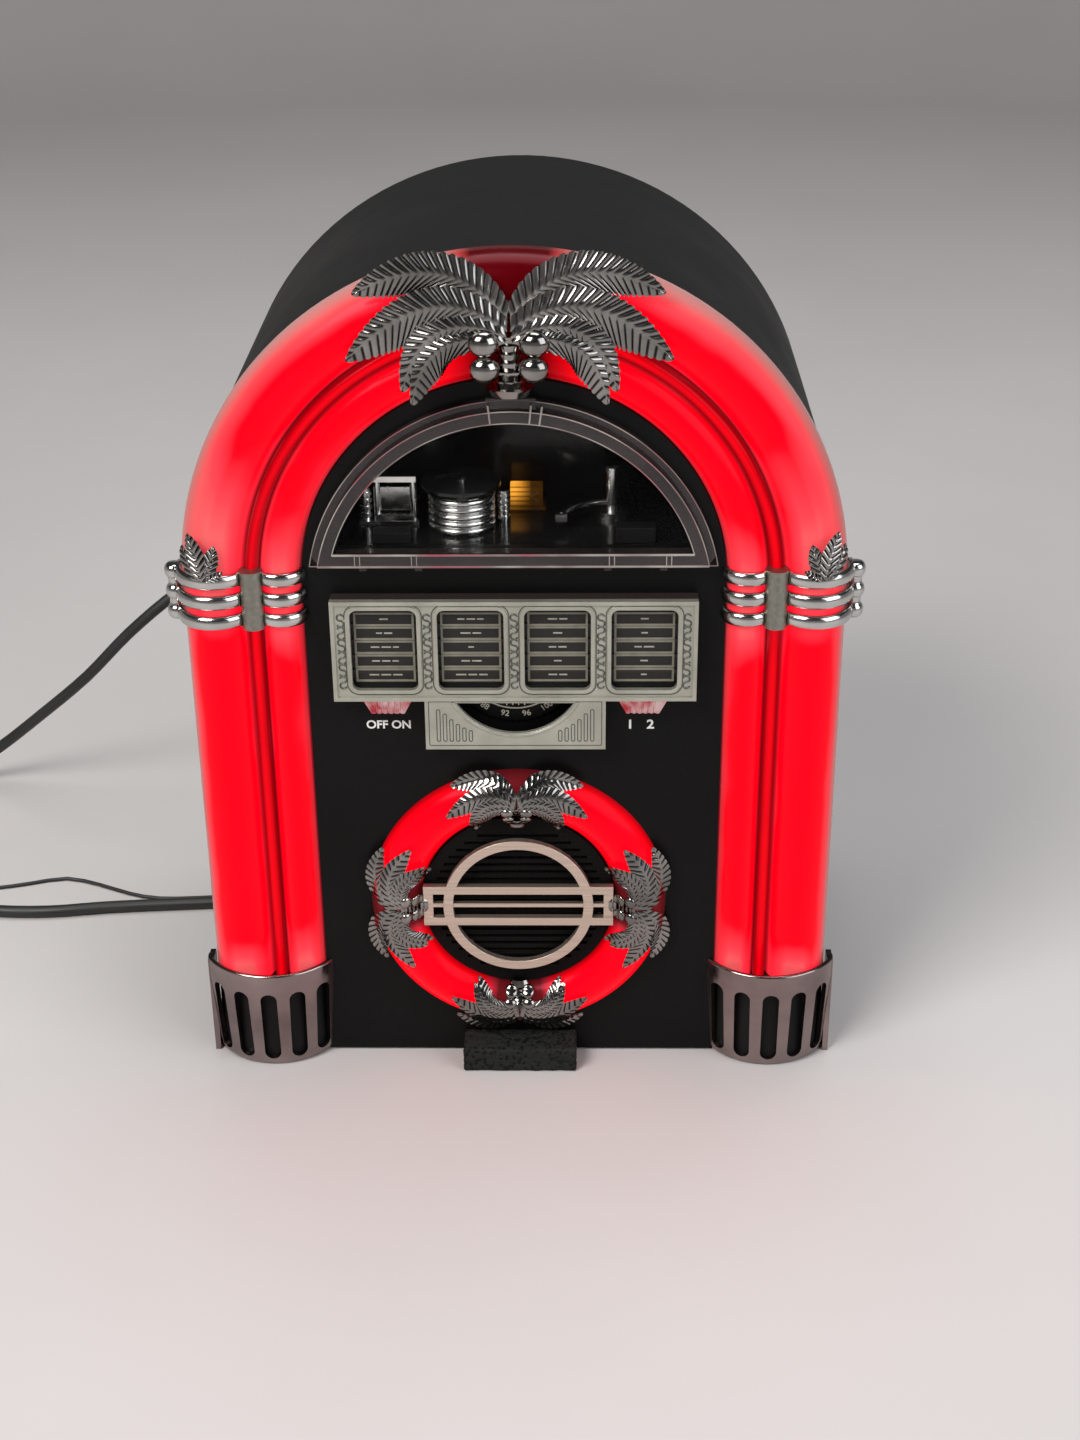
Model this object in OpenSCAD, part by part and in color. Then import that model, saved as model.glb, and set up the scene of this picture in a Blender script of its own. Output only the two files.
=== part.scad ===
// Arched tabletop radio in the style of an old jukebox, standing on z = 0 with its front towards -Y

/* [Cabinet] */
// Width of the cabinet across its straight sides
cabinet_w = 221.6; // [212:0.2:240]
// Height of the arch's centre above the table
arch_z = 191.3; // [185:0.1:205]
// Depth from the front panel's face to the back of the rear cover
cabinet_depth = 145; // [125:1:180]
// Thickness of the cabinet shell
cabinet_wall = 4; // [3:0.5:5]
// Gap between the cabinet's underside and the table
foot_clear = 6; // [5.5:0.5:9]
// Depth of the rear cover's rim
cover_rim = 6; // [5:0.5:10]
// Thickness of the rear cover's plate
cover_t = 2.5; // [2:0.25:4]
// Thickness of the rear cover's rim
cover_wall = 3; // [2:0.25:4]
// Length of the posts that take the rear cover's screws
post_l = 22; // [16:1:30]

/* [Front panel] */
// Thickness of the front panel's face
panel_t = 3; // [2:0.5:4]
// Depth of the ledge, behind the face, that carries the light tubes
ledge_y = 8; // [7:0.5:11]
// Thickness of the flange behind the ledge
flange_t = 4; // [3:0.5:6]
// Thickness of the wall round the panel's raised field
field_wall = 2.5; // [2:0.25:4]
// Gap between the front panel's lower edge and the table
panel_clear = 1; // [0.5:0.25:3]

/* [Light tubes] */
// Reach of the tubes past the cabinet's side
tube_reach = 1.2; // [0.5:0.1:2]
// Radius of the outer lobe's section
outer_lobe_r = 11; // [10:0.25:12]
// Radius of the bead between the lobes
bead_r = 2.2; // [1.8:0.1:2.6]
// Radius of the inner lobe's section
inner_lobe_r = 7; // [6.5:0.1:7.5]
// Height of the outer lobe in front of the panel's face
outer_lobe_h = 6.8; // [6:0.1:7]
// Height of the inner lobe in front of the panel's face
inner_lobe_h = 4.6; // [4:0.1:4.8]
// Height of the bead in front of the panel's face
bead_h = 3; // [2.4:0.1:4]
// Wall of the translucent tubes
tube_wall = 1.6; // [1.2:0.1:2.2]

/* [Clamps] */
// Height of each of the three clamp bands
band_h = 5; // [4:0.25:6]
// Gap between the clamp bands
band_gap = 2.4; // [1.5:0.1:3.5]
// Thickness of the clamp bands
band_t = 1.6; // [1.2:0.1:2]
// Radius of the upright bar over the bead
front_bar_r = 4; // [3.5:0.25:4.5]
// Radius of the upright bar on the outer side
side_bar_r = 2.6; // [2:0.1:3.2]

/* [Feet] */
// Height of the slotted foot cups
cup_h = 40; // [34:1:46]
// Radius of the foot cup's front wall
cup_r = 27.5; // [26.5:0.25:30]
// Reach of the foot cup in front of the panel's face
cup_front = 12.5; // [12:0.1:14]
// Draw-in of the cup's front wall from its rim to its floor
cup_taper = 1.8; // [0.5:0.1:3]
// Reach of the cup past the light tube on each side
cup_reach = 3.2; // [2.8:0.1:4]
// Wall of the foot cups
cup_wall = 2; // [1.6:0.1:2.4]
// Height of the cup's thick rim
cup_rim = 6; // [4:0.5:8]
// Width of the slots in the cups
slot_w = 6; // [4:0.25:7]
// Angle between the slots
slot_step = 22.4; // [18:0.2:24]
// Width of the front foot block
block_w = 42; // [30:1:60]
// Depth of the front foot block
block_d = 14; // [10:0.5:15]
// Height of the front foot block
block_h = 10; // [8:0.5:11]
// Radius of the rear rubber feet
rear_foot_r = 8; // [6:0.5:9]

/* [Title plate] */
// Width of the title plate
plate_w = 123.6; // [118:0.2:128]
// Height of the title plate's upper part
plate_h = 37; // [35:0.5:40]
// Drop from the arch's centre to the plate's top edge
plate_drop = 3.8; // [3:0.1:6]
// Width of the plate's lower tab
tab_w = 62; // [56:0.5:68]
// Height of the plate's lower tab
tab_h = 18.8; // [16:0.2:20]
// Depth of the plate in front of the panel
plate_d = 7; // [6.5:0.25:8]
// Thickness of the plate's skin
plate_skin = 1.6; // [1.2:0.1:2]
// Width of a title window
title_w = 22.4; // [20:0.2:24]
// Height of a title window
title_h = 28.6; // [26:0.2:30]
// Distance between title windows
title_step = 29.3; // [28:0.1:30]
// Number of strips in a title window
strips = 5; // [3:1:6]

/* [Tuning and switches] */
// Radius of the tuning dial
dial_r = 22.5; // [21:0.1:22.8]
// Thickness of the tuning dial
dial_t = 1.8; // [1.4:0.1:2]
// Height of the dial's axis above the plate's step
dial_rise = 10.7; // [9:0.1:11]
// Radius of the crescent opening over the dial
crescent_r = 23.3; // [22.9:0.1:24]
// Radius of the control shafts
shaft_r = 3; // [2:0.1:3.5]
// Distance of each switch knob from the title plate's end
switch_in = 18.1; // [16:0.1:19.5]
// Travel of the switch knobs
switch_travel = 4; // [3:0.25:5]
// Width of a switch knob along its top
knob_w = 17.4; // [15:0.2:18]
// Height of a switch knob
knob_h = 5.6; // [4.5:0.1:7]
// Radius of the volume wheel
wheel_r = 15; // [14:0.25:16]
// Thickness of the volume wheel
wheel_t = 5; // [4:0.25:6]
// Reach of the volume wheel past the cabinet's side
wheel_reach = 3.6; // [2.5:0.1:4.5]

/* [Window and stage] */
// Margin between the clear window and the light arch
window_margin = 2.1; // [1.5:0.1:4]
// Drop of the window's arc below the arch's centre
window_drop = 4.3; // [3:0.1:6]
// Rise of the window's lower edge above the arch's centre
window_rise = 7; // [5:0.1:8]
// Depth of the clear window in front of the panel
window_d = 6.2; // [5.5:0.1:7]
// Width of the window's thick rim
window_rim = 7; // [6:0.25:8]
// Height of the window's rim along its lower edge
window_sill = 5.5; // [4:0.1:6]
// Thickness of the window's pane
pane_t = 1.6; // [1.2:0.1:2.2]
// Depth of the stage behind the window
stage_d = 44; // [42:1:60]
// Wall of the stage
stage_wall = 1.6; // [1.2:0.1:2.5]

/* [Speaker] */
// Height of the speaker's axis above the table
ring_z = 67.1; // [66:0.1:72]
// Outer radius of the lit speaker ring
ring_r = 53.2; // [50:0.2:56]
// Inner radius of the lit speaker ring
ring_hole_r = 35; // [34:0.2:37]
// Height of the lit ring in front of the panel
ring_h = 6.5; // [5.5:0.1:7.5]
// Outer radius of the trim ring
trim_r = 27; // [25:0.2:29]
// Width of the trim ring
trim_w = 3.5; // [2.5:0.1:4.5]
// Length of the three trim bars
bar_l = 68.4; // [64:0.2:69]
// Height of a trim bar
bar_h = 3.2; // [2.5:0.1:4]
// Distance between the trim bars
bar_step = 6.5; // [5.5:0.1:8]

/* [Palms] */
// Width of the crest palm
crest_w = 104; // [90:1:116]
// Height of the crest palm
crest_h = 46; // [40:0.5:50]
// Depth of the crest palm
crest_d = 13; // [11:0.5:15]
// Width of a speaker palm
ring_palm_w = 50; // [44:0.5:54]
// Height of a speaker palm
ring_palm_h = 24; // [20:0.5:26]
// Depth of a speaker palm
ring_palm_d = 4.5; // [3.5:0.25:6]
// Height of the sprigs on the clamps
sprig_h = 13; // [10:0.5:16]

/* [Cords] */
// Diameter of the power lead
lead_d = 5; // [4.6:0.1:5.2]
// Diameter of the aerial wire
wire_d = 1.6; // [1.4:0.1:1.7]

/* [Hidden] */
// Clearances: parts that are set in place, parts that slide, and shafts in their bores
fit_gap = 0.3;
slide_gap = 0.4;
shaft_gap = 0.05;
eps = 0.05;
$fn = 64;

half_w = cabinet_w / 2;
post_r = 5;
flange_back = ledge_y + flange_t;
cover_seam = cabinet_depth - cover_rim;
inner_half_w = half_w - cabinet_wall;
inner_floor = foot_clear + cabinet_wall;

tube_r = half_w + tube_reach;
outer_c = tube_r - outer_lobe_r;
bead_c = outer_c - outer_lobe_r - bead_r;
inner_c = bead_c - bead_r - inner_lobe_r;
tube_in_r = inner_c - inner_lobe_r;
field_r = tube_in_r - fit_gap;

clamp_h = 3 * band_h + 2 * band_gap;
clamp_z = arch_z + 5.9 - clamp_h;
side_bar_x = tube_r + fit_gap + band_t + side_bar_r - 1.8;

cup_x = (tube_r + tube_in_r) / 2;
cup_half = (tube_r - tube_in_r) / 2 + cup_reach;
cup_axis_y = cup_r - cup_front;
slot_low = 3.5;
slot_high = cup_h - cup_rim - 1;
core_top = slot_high + 2;

plate_top = arch_z - plate_drop;
plate_low = plate_top - plate_h;
tab_low = plate_low - tab_h;
title_z = plate_low + plate_h / 2;
dial_z = plate_low + dial_rise;
dial_y = 0.6;
rack_back = -0.3;
rack_front = -3.6;
strip_pitch = title_h / strips;

switch_x = plate_w / 2 - switch_in;
switch_z = plate_low - fit_gap - knob_h / 2;
switch_body_d = 6;
stem_w = 3.4;
stem_h = 2.4;

board_y = 26;
board_t = 1.6;
board_left = -66;
board_right = inner_half_w - 2.5;
board_low = plate_low - 26;
board_high = arch_z + 1;
boss_r = 3.5;
screw_r = 1.2;
boss_x = 58;
boss_z = [board_low + 5, board_high - 5];

volume_x = half_w + wheel_reach - wheel_r;
volume_z = plate_low + 10;
pot_d = 10;
wheel_y = board_y + board_t + pot_d + slide_gap;

window_z = arch_z - window_drop;
window_low = arch_z + window_rise;
window_r = field_r - window_margin;
window_corner = 5;
stage_r = window_r - window_rim;
stage_floor = window_low + window_sill;
stage_back = panel_t + stage_d;

ring_mid = (ring_r + ring_hole_r) / 2;
ring_half = (ring_r - ring_hole_r) / 2;
ring_arc = (ring_half * ring_half + ring_h * ring_h) / (2 * ring_h);
hole_r = ring_hole_r - 1.5;
grille_r = ring_hole_r - 0.4;
grille_t = 1.6;
trim_back = -3.2;
trim_front = -5.8;

crest_z = arch_z + tube_in_r - 1;
crest_seat = inner_lobe_h + fit_gap;
crest_front = crest_seat + crest_d;
palm_seat = ring_h - 0.2;
palm_base_r = ring_hole_r - 3.5;

// The origin is under the middle of the box from the crest's front to the rear cover
front_y = max(crest_front, cup_front, block_d);
panel_y = (front_y - cabinet_depth) / 2;

gland_x = -80;
gland_z = 140;
gland_l = 16;
grommet_x = -72;
grommet_z = 28;
grommet_l = 2;
rear_foot_x = 92;
rear_foot_y = 128;

// Coils: centre, turns, least radius and the step between turns
lead_coil_c = [10, 196];
lead_turns = 6.25;
lead_coil_r = 20.5;
lead_step = lead_d + 0.6;
wire_coil_c = [-252, 128];
wire_turns = 9.25;
wire_coil_r = 4.5;
wire_step = wire_d + 0.5;
lead_end_r = lead_coil_r + lead_step * lead_turns / 2;
wire_end_r = wire_coil_r + wire_step * wire_turns / 2;
lead_low = lead_d / 2;
plug_tail = 5 * lead_d;
wire_low = wire_d / 2;

// Route of the power lead, from its gland down to the table, round and under the cabinet to its coil
lead_route = [
    [gland_x, cabinet_depth + gland_l, gland_z], [gland_x, cabinet_depth + gland_l + 10, gland_z],
    [-81.3, 180.3, 139.4], [-86.8, 189.5, 137.3], [-96, 195.6, 133.5], [-109, 198.4, 127.5],
    [-129, 196.5, 117.5], [-153, 193, 104], [-176, 192, 85], [-198, 195, 62], [-221, 201, 41],
    [-244, 207, 21], [-261, 207.5, 9.6], [-277, 201, 4.4], [-288.5, 186, 2.9], [-292, 165, 2.55],
    [-288.5, 142, lead_low], [-276, 117, lead_low], [-252, 99, lead_low], [-222, 93.5, lead_low],
    [-199, 93, lead_low], [-178, 96, lead_low], [-158, 98, lead_low], [-132, 100, lead_low],
    [-105, 103, lead_low], [-80, 112, lead_low], [-62, 128, lead_low], [-48.5, 146, lead_low],
    [-38, 159.5, lead_low], [-30.8, 171.5, lead_low],
    [lead_coil_c[0] - lead_end_r, lead_coil_c[1] - 2.8 * lead_d, lead_low],
    [lead_coil_c[0] - lead_end_r, lead_coil_c[1] - lead_d, lead_low]
];
// Route of the aerial wire, from its grommet down behind the cover, under the cabinet and out to its coil
wire_route = [
    [grommet_x, cabinet_depth + grommet_l, grommet_z], [-72, 154, 27.4], [-72.5, 161, 24],
    [-73.5, 165.5, 18], [-75, 166.5, 11.5], [-76.8, 162.5, 5.6], [-78, 154, 2], [-78.2, 142, 0.95],
    [-79.5, 128, wire_low], [-88, 115, wire_low],
    [-105, 109, wire_low], [-133, 107, wire_low], [-155, 106, wire_low], [-169, 110, wire_low],
    [-183, 117, wire_low], [-198, 122, wire_low], [-213, 118, wire_low], [-228, 114, wire_low],
    [wire_coil_c[0] + 4 * wire_d, wire_coil_c[1] - wire_end_r, wire_low],
    [wire_coil_c[0] + wire_d, wire_coil_c[1] - wire_end_r, wire_low]
];

// A smooth curve through a route, with a point about every step
function curve_at(a, b, c, d, t) =
    0.5 * (2 * b + (c - a) * t + (2 * a - 5 * b + 4 * c - d) * t * t + (3 * b - a - 3 * c + d) * t * t * t);
function pick(p, i) = p[max(0, min(len(p) - 1, i))];
function curve_through(p, step) = [
    for (i = [0 : len(p) - 2])
        let (n = max(1, round(norm(p[i + 1] - p[i]) / step)))
        for (k = [0 : n - 1])
            curve_at(pick(p, i - 1), p[i], p[i + 1], pick(p, i + 2), k / n),
    p[len(p) - 1]
];
function path_length(p) = len(p) < 2 ? 0 : [for (i = 1, s = norm(p[1] - p[0]); i < len(p);
    i = i + 1, s = s + (i < len(p) ? norm(p[i] - p[i - 1]) : 0)) s][len(p) - 2];

// A coil that spirals in on the lower layer, climbs where it turns back, and spirals out on the upper one
function coil_points(c, turns, r, step, low, start) = [
    for (k = [0 : round(24 * turns)])
        let (
            a = 360 * turns * k / round(24 * turns),
            from_mid = a - 180 * turns,
            rad = r + step * abs(from_mid) / 360,
            climb = max(0, min(1, from_mid / 180 + 0.5)),
            turn = start - a
        )
        [c[0] + rad * cos(turn), c[1] + rad * sin(turn), low + step * climb]
];
function with_ends(p, first, last) = concat([p[0] - first], p, [p[len(p) - 1] + last]);
// Least gap between turns, over points at least half a turn apart
function own_gap(p, d) = min([
    for (i = [0 : len(p) - 1])
        for (j = [i + 12 : 1 : len(p) - 1])
            norm(p[i] - p[j]) - d
]);

function unit(v) = v / norm(v);
function tangent(p, i) = unit(pick(p, i + 1) - pick(p, i - 1));
function across(v, t) = unit(v - (v * t) * t);
// A round tube along a list of points
module tube(p, d, sides, first_up) {
    ups = [for (i = 0, u = across(first_up, tangent(p, 0)); i < len(p);
        i = i + 1, u = across(u, tangent(p, min(i, len(p) - 1)))) u];
    points = [
        for (i = [0 : len(p) - 1])
            let (t = tangent(p, i), u = ups[i], w = cross(t, u))
            for (k = [0 : sides - 1])
                p[i] + d / 2 * (cos(360 * k / sides) * u + sin(360 * k / sides) * w)
    ];
    last = (len(p) - 1) * sides;
    faces = [
        for (i = [0 : len(p) - 2])
            for (k = [0 : sides - 1])
                let (a = i * sides + k, b = i * sides + (k + 1) % sides)
                each [[a, a + sides, b], [b, a + sides, b + sides]],
        for (k = [1 : sides - 2]) each [[0, k, k + 1], [last, last + k + 1, last + k]]
    ];
    polyhedron(points, faces);
}

// Carries a flat outline in x and z through the depths from y0 to y1
module through(y0, y1) translate([0, y1, 0]) rotate([90, 0, 0]) linear_extrude(y1 - y0) children();
// Turns a section, with its height towards the front, round a level axis
module round_front(z, angle = 360) translate([0, 0, z]) rotate([90, 0, 0])
    rotate_extrude(angle = angle) children();
module both() {
    children();
    mirror([1, 0, 0]) children();
}
module in_frame() translate([0, panel_y, 0]) children();

module arch(r, low) {
    translate([0, arch_z]) circle(r);
    translate([-r, low]) square([2 * r, arch_z - low]);
}
module rounded(w, h, r) {
    square([w - 2 * r, h], center = true);
    square([w, h - 2 * r], center = true);
    for (x = [-1, 1], y = [-1, 1]) translate([x * (w / 2 - r), y * (h / 2 - r)]) circle(r);
}
// Window outline: an arc over a straight lower edge with round corners, drawn in by inset, raised by sill
module window_outline(inset, sill) {
    r = window_r - inset;
    low = window_low + sill;
    corner = max(1, window_corner - inset);
    corner_x = sqrt(pow(r - corner, 2) - pow(low + corner - window_z, 2));
    intersection() {
        translate([0, window_z]) circle(r);
        translate([-r, low + corner]) square([2 * r, 2 * r]);
    }
    translate([-corner_x, low]) square([2 * corner_x, 2 * corner]);
    for (x = [-1, 1]) translate([x * corner_x, low + corner]) circle(corner);
}

module cabinet_shell() color("#1b1b1c") {
    posts = cover_posts();
    difference() {
        union() {
            through(flange_back, cover_seam) difference() {
                arch(half_w, foot_clear);
                arch(inner_half_w, inner_floor);
            }
            for (p = posts) translate([p[0], cabinet_depth - cover_t, p[1]]) rotate([90, 0, 0])
                cylinder(r = post_r, h = post_l);
        }
        for (p = posts) translate([p[0], cabinet_depth, p[1]]) rotate([90, 0, 0])
            cylinder(r = screw_r, h = 16);
        translate([inner_half_w - 1, wheel_y - slide_gap, volume_z - wheel_r])
            cube([cabinet_wall + 2, wheel_t + 2 * slide_gap, 2 * wheel_r]);
    }
}
// Places of the rear cover's screws
function cover_posts() = let (r = half_w - cover_wall - post_r - fit_gap) [
    for (a = [35, 90, 145]) [r * cos(a), arch_z + r * sin(a)],
    for (x = [-1, 1], z = [foot_clear + 14, 105]) [x * r, z]
];

module rear_cover() color("#1f1f20") difference() {
    union() {
        through(cabinet_depth - cover_t, cabinet_depth) arch(half_w, foot_clear);
        through(cover_seam, cabinet_depth) difference() {
            arch(half_w, foot_clear);
            arch(half_w - cover_wall, foot_clear + cover_wall);
        }
    }
    for (p = cover_posts()) translate([p[0], cabinet_depth + 1, p[1]]) rotate([90, 0, 0]) {
        cylinder(r = screw_r + 0.3, h = cover_t + 2);
        cylinder(r = 2.8 + fit_gap, h = 2.2);
    }
    for (x = [-42 : 6 : 42]) translate([x, cabinet_depth - cover_t - 1, ring_z])
        through(0, cover_t + 2) rounded(2.4, 50, 1.1);
    translate([gland_x, cabinet_depth + 1, gland_z]) rotate([90, 0, 0])
        cylinder(r = 5 + shaft_gap, h = cover_t + 2);
    translate([grommet_x, cabinet_depth + 1, grommet_z]) rotate([90, 0, 0])
        cylinder(r = 2.5 + shaft_gap, h = cover_t + 2);
}
module cover_screws() color("#4a4b4d") for (p = cover_posts())
    translate([p[0], cabinet_depth, p[1]]) rotate([90, 0, 0]) difference() {
        union() {
            translate([0, 0, 0.2]) cylinder(r = 2.8, h = 1);
            cylinder(r = screw_r - shaft_gap, h = 14);
        }
        translate([-0.4, -3, -eps]) cube([0.8, 6, 0.7]);
    }

module front_panel() color("#161617") difference() {
    union() {
        through(0, panel_t) arch(field_r, panel_clear);
        through(0, flange_back) difference() {
            arch(field_r, panel_clear);
            arch(field_r - field_wall, panel_clear + field_wall);
        }
        through(ledge_y, flange_back) difference() {
            arch(half_w, panel_clear);
            arch(field_r - field_wall, panel_clear + field_wall);
        }
        for (x = [-1, 1], z = boss_z) translate([x * boss_x, board_y, z]) rotate([90, 0, 0])
            cylinder(r = boss_r, h = board_y - panel_t + eps);
    }
    through(-1, panel_t + 1) {
        window_outline(window_rim, window_sill);
        translate([0, dial_z]) circle(dial_r + slide_gap);
        translate([0, ring_z]) circle(hole_r);
        for (x = [-1, 1]) translate([x * switch_x, switch_z])
            square([stem_w + 2 * switch_travel + 2 * slide_gap, stem_h + 2 * slide_gap], center = true);
    }
    for (x = [-1, 1], z = boss_z) translate([x * boss_x, board_y + 1, z]) rotate([90, 0, 0])
        cylinder(r = screw_r, h = 14);
}

// One lobe of a section: a round top at height h over straight sides down to low
module lobe(c, h, r, low) {
    intersection() {
        translate([c, h - r]) circle(r);
        translate([c - r, low]) square([2 * r, h - low]);
    }
    translate([c - r, low]) square([2 * r, h - r - low]);
}
// Section of the light tubes: two lobes and the bead between them, from the axis outwards, grown by out
module tube_section(out, low, bead = true) {
    lobe(outer_c, outer_lobe_h + out, outer_lobe_r + out, low);
    lobe(inner_c, inner_lobe_h + out, inner_lobe_r + out, low);
    if (bead) lobe(bead_c, bead_h + out, bead_r + out, low);
}
module tube_shell() difference() {
    tube_section(0, -ledge_y);
    tube_section(-tube_wall, -ledge_y - 1, false);
}
module upright(z0, z1) translate([0, 0, z0]) linear_extrude(z1 - z0) mirror([0, 1]) children();

module arch_tube() color("#f0102c") round_front(arch_z, 180) tube_shell();
module column_tube() color("#f0102c") upright(core_top, arch_z) tube_shell();
module right_column_tube() column_tube();
module left_column_tube() mirror([1, 0, 0]) column_tube();

module lamp(z) translate([outer_c, ledge_y - board_t, z]) rotate([90, 0, 0]) {
    cylinder(r = 2.5, h = 3);
    translate([0, 0, 3]) sphere(2.5);
}
module lamp_strip() color("#d8d8d0") {
    low = core_top + 4;
    high = arch_z - 6;
    translate([outer_c - 4, ledge_y - board_t, low]) cube([8, board_t, high - low]);
    for (k = [0 : 6]) lamp(low + 8 + k * (high - low - 16) / 6);
}
module column_lamp_strips() both() lamp_strip();
module arch_lamp_strip() color("#d8d8d0") {
    round_front(arch_z, 180) translate([outer_c - 4, -ledge_y]) square([8, board_t]);
    for (a = [9 : 18 : 171]) translate([0, 0, arch_z]) rotate([0, -a, 0]) lamp(0);
}

// Section of a clamp band: a skin over the tube that stops at the panel's face on the inner side
module band_section() difference() {
    tube_section(fit_gap + band_t, -ledge_y + fit_gap);
    tube_section(fit_gap, -ledge_y);
    translate([tube_in_r - 6, -2 * ledge_y]) square([6, 2 * ledge_y + fit_gap]);
}
module clamp() color("#c9cacc") difference() {
    union() {
        for (k = [0 : 2]) translate([0, 0, k * (band_h + band_gap)])
            upright(clamp_z, clamp_z + band_h) band_section();
        translate([bead_c, -bead_h - 0.6, clamp_z - 0.5]) cylinder(r = front_bar_r, h = clamp_h + 1);
        translate([side_bar_x, ledge_y / 2, clamp_z]) cylinder(r = side_bar_r, h = clamp_h);
    }
    upright(clamp_z - 1, clamp_z + clamp_h + 1) tube_section(fit_gap, -ledge_y);
}
module right_clamp() clamp();
module left_clamp() mirror([1, 0, 0]) clamp();

// Foot cups: a drawn front wall with a thick rim and round-ended slots
module cup_walls() {
    low_r = cup_r - cup_taper;
    edge = 3;
    intersection() {
        translate([cup_x, cup_axis_y, 0]) rotate_extrude() {
            polygon([
                [0, 0], [low_r - edge, 0], [low_r - edge * 0.3, edge * 0.3], [low_r, edge],
                [cup_r, cup_h - cup_rim], [cup_r, cup_h], [cup_r - cup_wall, cup_h],
                [cup_r - cup_wall, cup_h - cup_rim], [low_r - cup_wall, edge],
                [low_r - cup_wall, cup_wall], [0, cup_wall]
            ]);
            translate([cup_r - cup_wall / 2, cup_h]) circle(cup_wall / 2);
        }
        translate([cup_x - cup_half, -cup_front - 1, 0])
            cube([2 * cup_half, cup_front + 1 + ledge_y - fit_gap, cup_h + cup_wall]);
    }
    translate([cup_x + cup_half - cup_wall, 0, 0]) cube([cup_wall, ledge_y - fit_gap, cup_h]);
}
module cup_slots() for (k = [-2 : 2]) translate([cup_x, cup_axis_y, 0]) rotate([90, 0, k * slot_step]) {
    for (z = [slot_low + slot_w / 2, slot_high - slot_w / 2])
        translate([0, z, cup_r - cup_taper - cup_wall - 3])
            cylinder(r = slot_w / 2, h = cup_wall + cup_taper + 6);
    translate([-slot_w / 2, slot_low + slot_w / 2, cup_r - cup_taper - cup_wall - 3])
        cube([slot_w, slot_high - slot_low - slot_w, cup_wall + cup_taper + 6]);
}
module foot_cup() color("#c9cacc") difference() {
    cup_walls();
    cup_slots();
    translate([0, -fit_gap, -1]) cube([tube_in_r + eps, 2 * ledge_y, cup_h + 4]);
}
module right_foot_cup() foot_cup();
module left_foot_cup() mirror([1, 0, 0]) foot_cup();

// Black socket inside each cup, which the column stands in
module foot_socket() color("#101011") difference() {
    r = cup_r - cup_taper - cup_wall - fit_gap;
    translate([cup_x, cup_axis_y, cup_wall]) cylinder(r = r, h = core_top - cup_wall);
    translate([0, -cup_axis_y - 2 * cup_r, 0]) cube([tube_in_r, 4 * cup_r, cup_h]);
    translate([tube_r, -cup_axis_y - 2 * cup_r, 0]) cube([3 * cup_r, 4 * cup_r, cup_h]);
    translate([0, ledge_y - fit_gap, 0]) cube([3 * half_w, 3 * cup_r, cup_h]);
}
module foot_sockets() both() foot_socket();

module front_foot() color("#232625") translate([-block_w / 2, -block_d, 0])
    cube([block_w, block_d, block_h]);
module rear_feet() color("#202020") both() translate([rear_foot_x, rear_foot_y, 0])
    cylinder(r = rear_foot_r, h = foot_clear);

// One frond: a ribbed blade along a bent midrib in x and z, with its leaflets swept to the tip
function bend(p, t) = (1 - t) * (1 - t) * p[0] + 2 * t * (1 - t) * p[1] + t * t * p[2];
function bend_way(p, t) = unit(2 * (1 - t) * (p[1] - p[0]) + 2 * t * (p[2] - p[1]));
module frond(p, w, leaves, lift, fall) {
    n = 2 * leaves;
    sweep = 0.9;
    points = [
        for (i = [0 : n])
            let (
                t = i / n,
                way = bend_way(p, t),
                side = [-way[1], way[0]],
                ridge = i % 2,
                bulge = pow(sin(180 * pow(0.05 + 0.93 * t, 0.75)), 0.7),
                half = max(0.25, w * bulge * (0.72 + 0.28 * ridge)),
                f = lift - fall * t * t
            )
            for (s = [-1, 0, 1])
                let (q = bend(p, t) + s * half * side + abs(s) * sweep * half * way)
                each [
                    [q[0], -(f + (s == 0 ? 1.5 : 0.2) + 0.6 * ridge), q[1]],
                    [q[0], -(f - 0.9), q[1]]
                ]
    ];
    faces = [
        for (i = [0 : n - 1])
            let (a = 6 * i, b = 6 * i + 6)
            each [
                [a, a + 2, b], [a + 2, b + 2, b], [a + 2, a + 4, b + 2], [a + 4, b + 4, b + 2],
                [a + 1, b + 1, a + 3], [a + 3, b + 1, b + 3], [a + 3, b + 3, a + 5], [a + 5, b + 3, b + 5],
                [a, b, a + 1], [b, b + 1, a + 1], [a + 4, a + 5, b + 4], [b + 4, a + 5, b + 5]
            ],
        [0, 1, 2], [1, 3, 2], [2, 3, 4], [3, 5, 4],
        let (e = 6 * n) each [
            [e, e + 2, e + 1], [e + 1, e + 2, e + 3], [e + 2, e + 4, e + 3], [e + 3, e + 4, e + 5]
        ]
    ];
    polyhedron(points, faces);
}
// Palm relief at the crest's own proportions: fronds on each side, a short trunk and four nuts
module palm_relief(leaves, nut_fn) {
    both() {
        frond([[0.9, 20], [15, 57], [50, 30]], 5, leaves, 5.7, 1.8);
        frond([[1.3, 18.7], [22, 48], [51, 25]], 6, leaves, 7.6, 3.8);
        frond([[1.1, 17.1], [26, 37], [52, 11]], 6, leaves, 6.9, 3.2);
        if (leaves > 5) frond([[1.6, 15.8], [27, 29], [33, 2]], 5.5, leaves, 7.2, 4);
        frond([[1.9, 14.7], [21, 17], [30, -1]], 3.4, leaves, 5.6, 3);
        for (z = [10, 17.4]) translate([5.7, -8, z]) sphere(3.7, $fn = nut_fn);
    }
    translate([0, -3, 0]) cylinder(r1 = 3, r2 = 3, h = 21, $fn = 12);
}
module crest_palm() color("#bfc1c4") translate([0, -crest_seat, crest_z])
    resize([crest_w, crest_d, crest_h]) palm_relief(8, 14);
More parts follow.
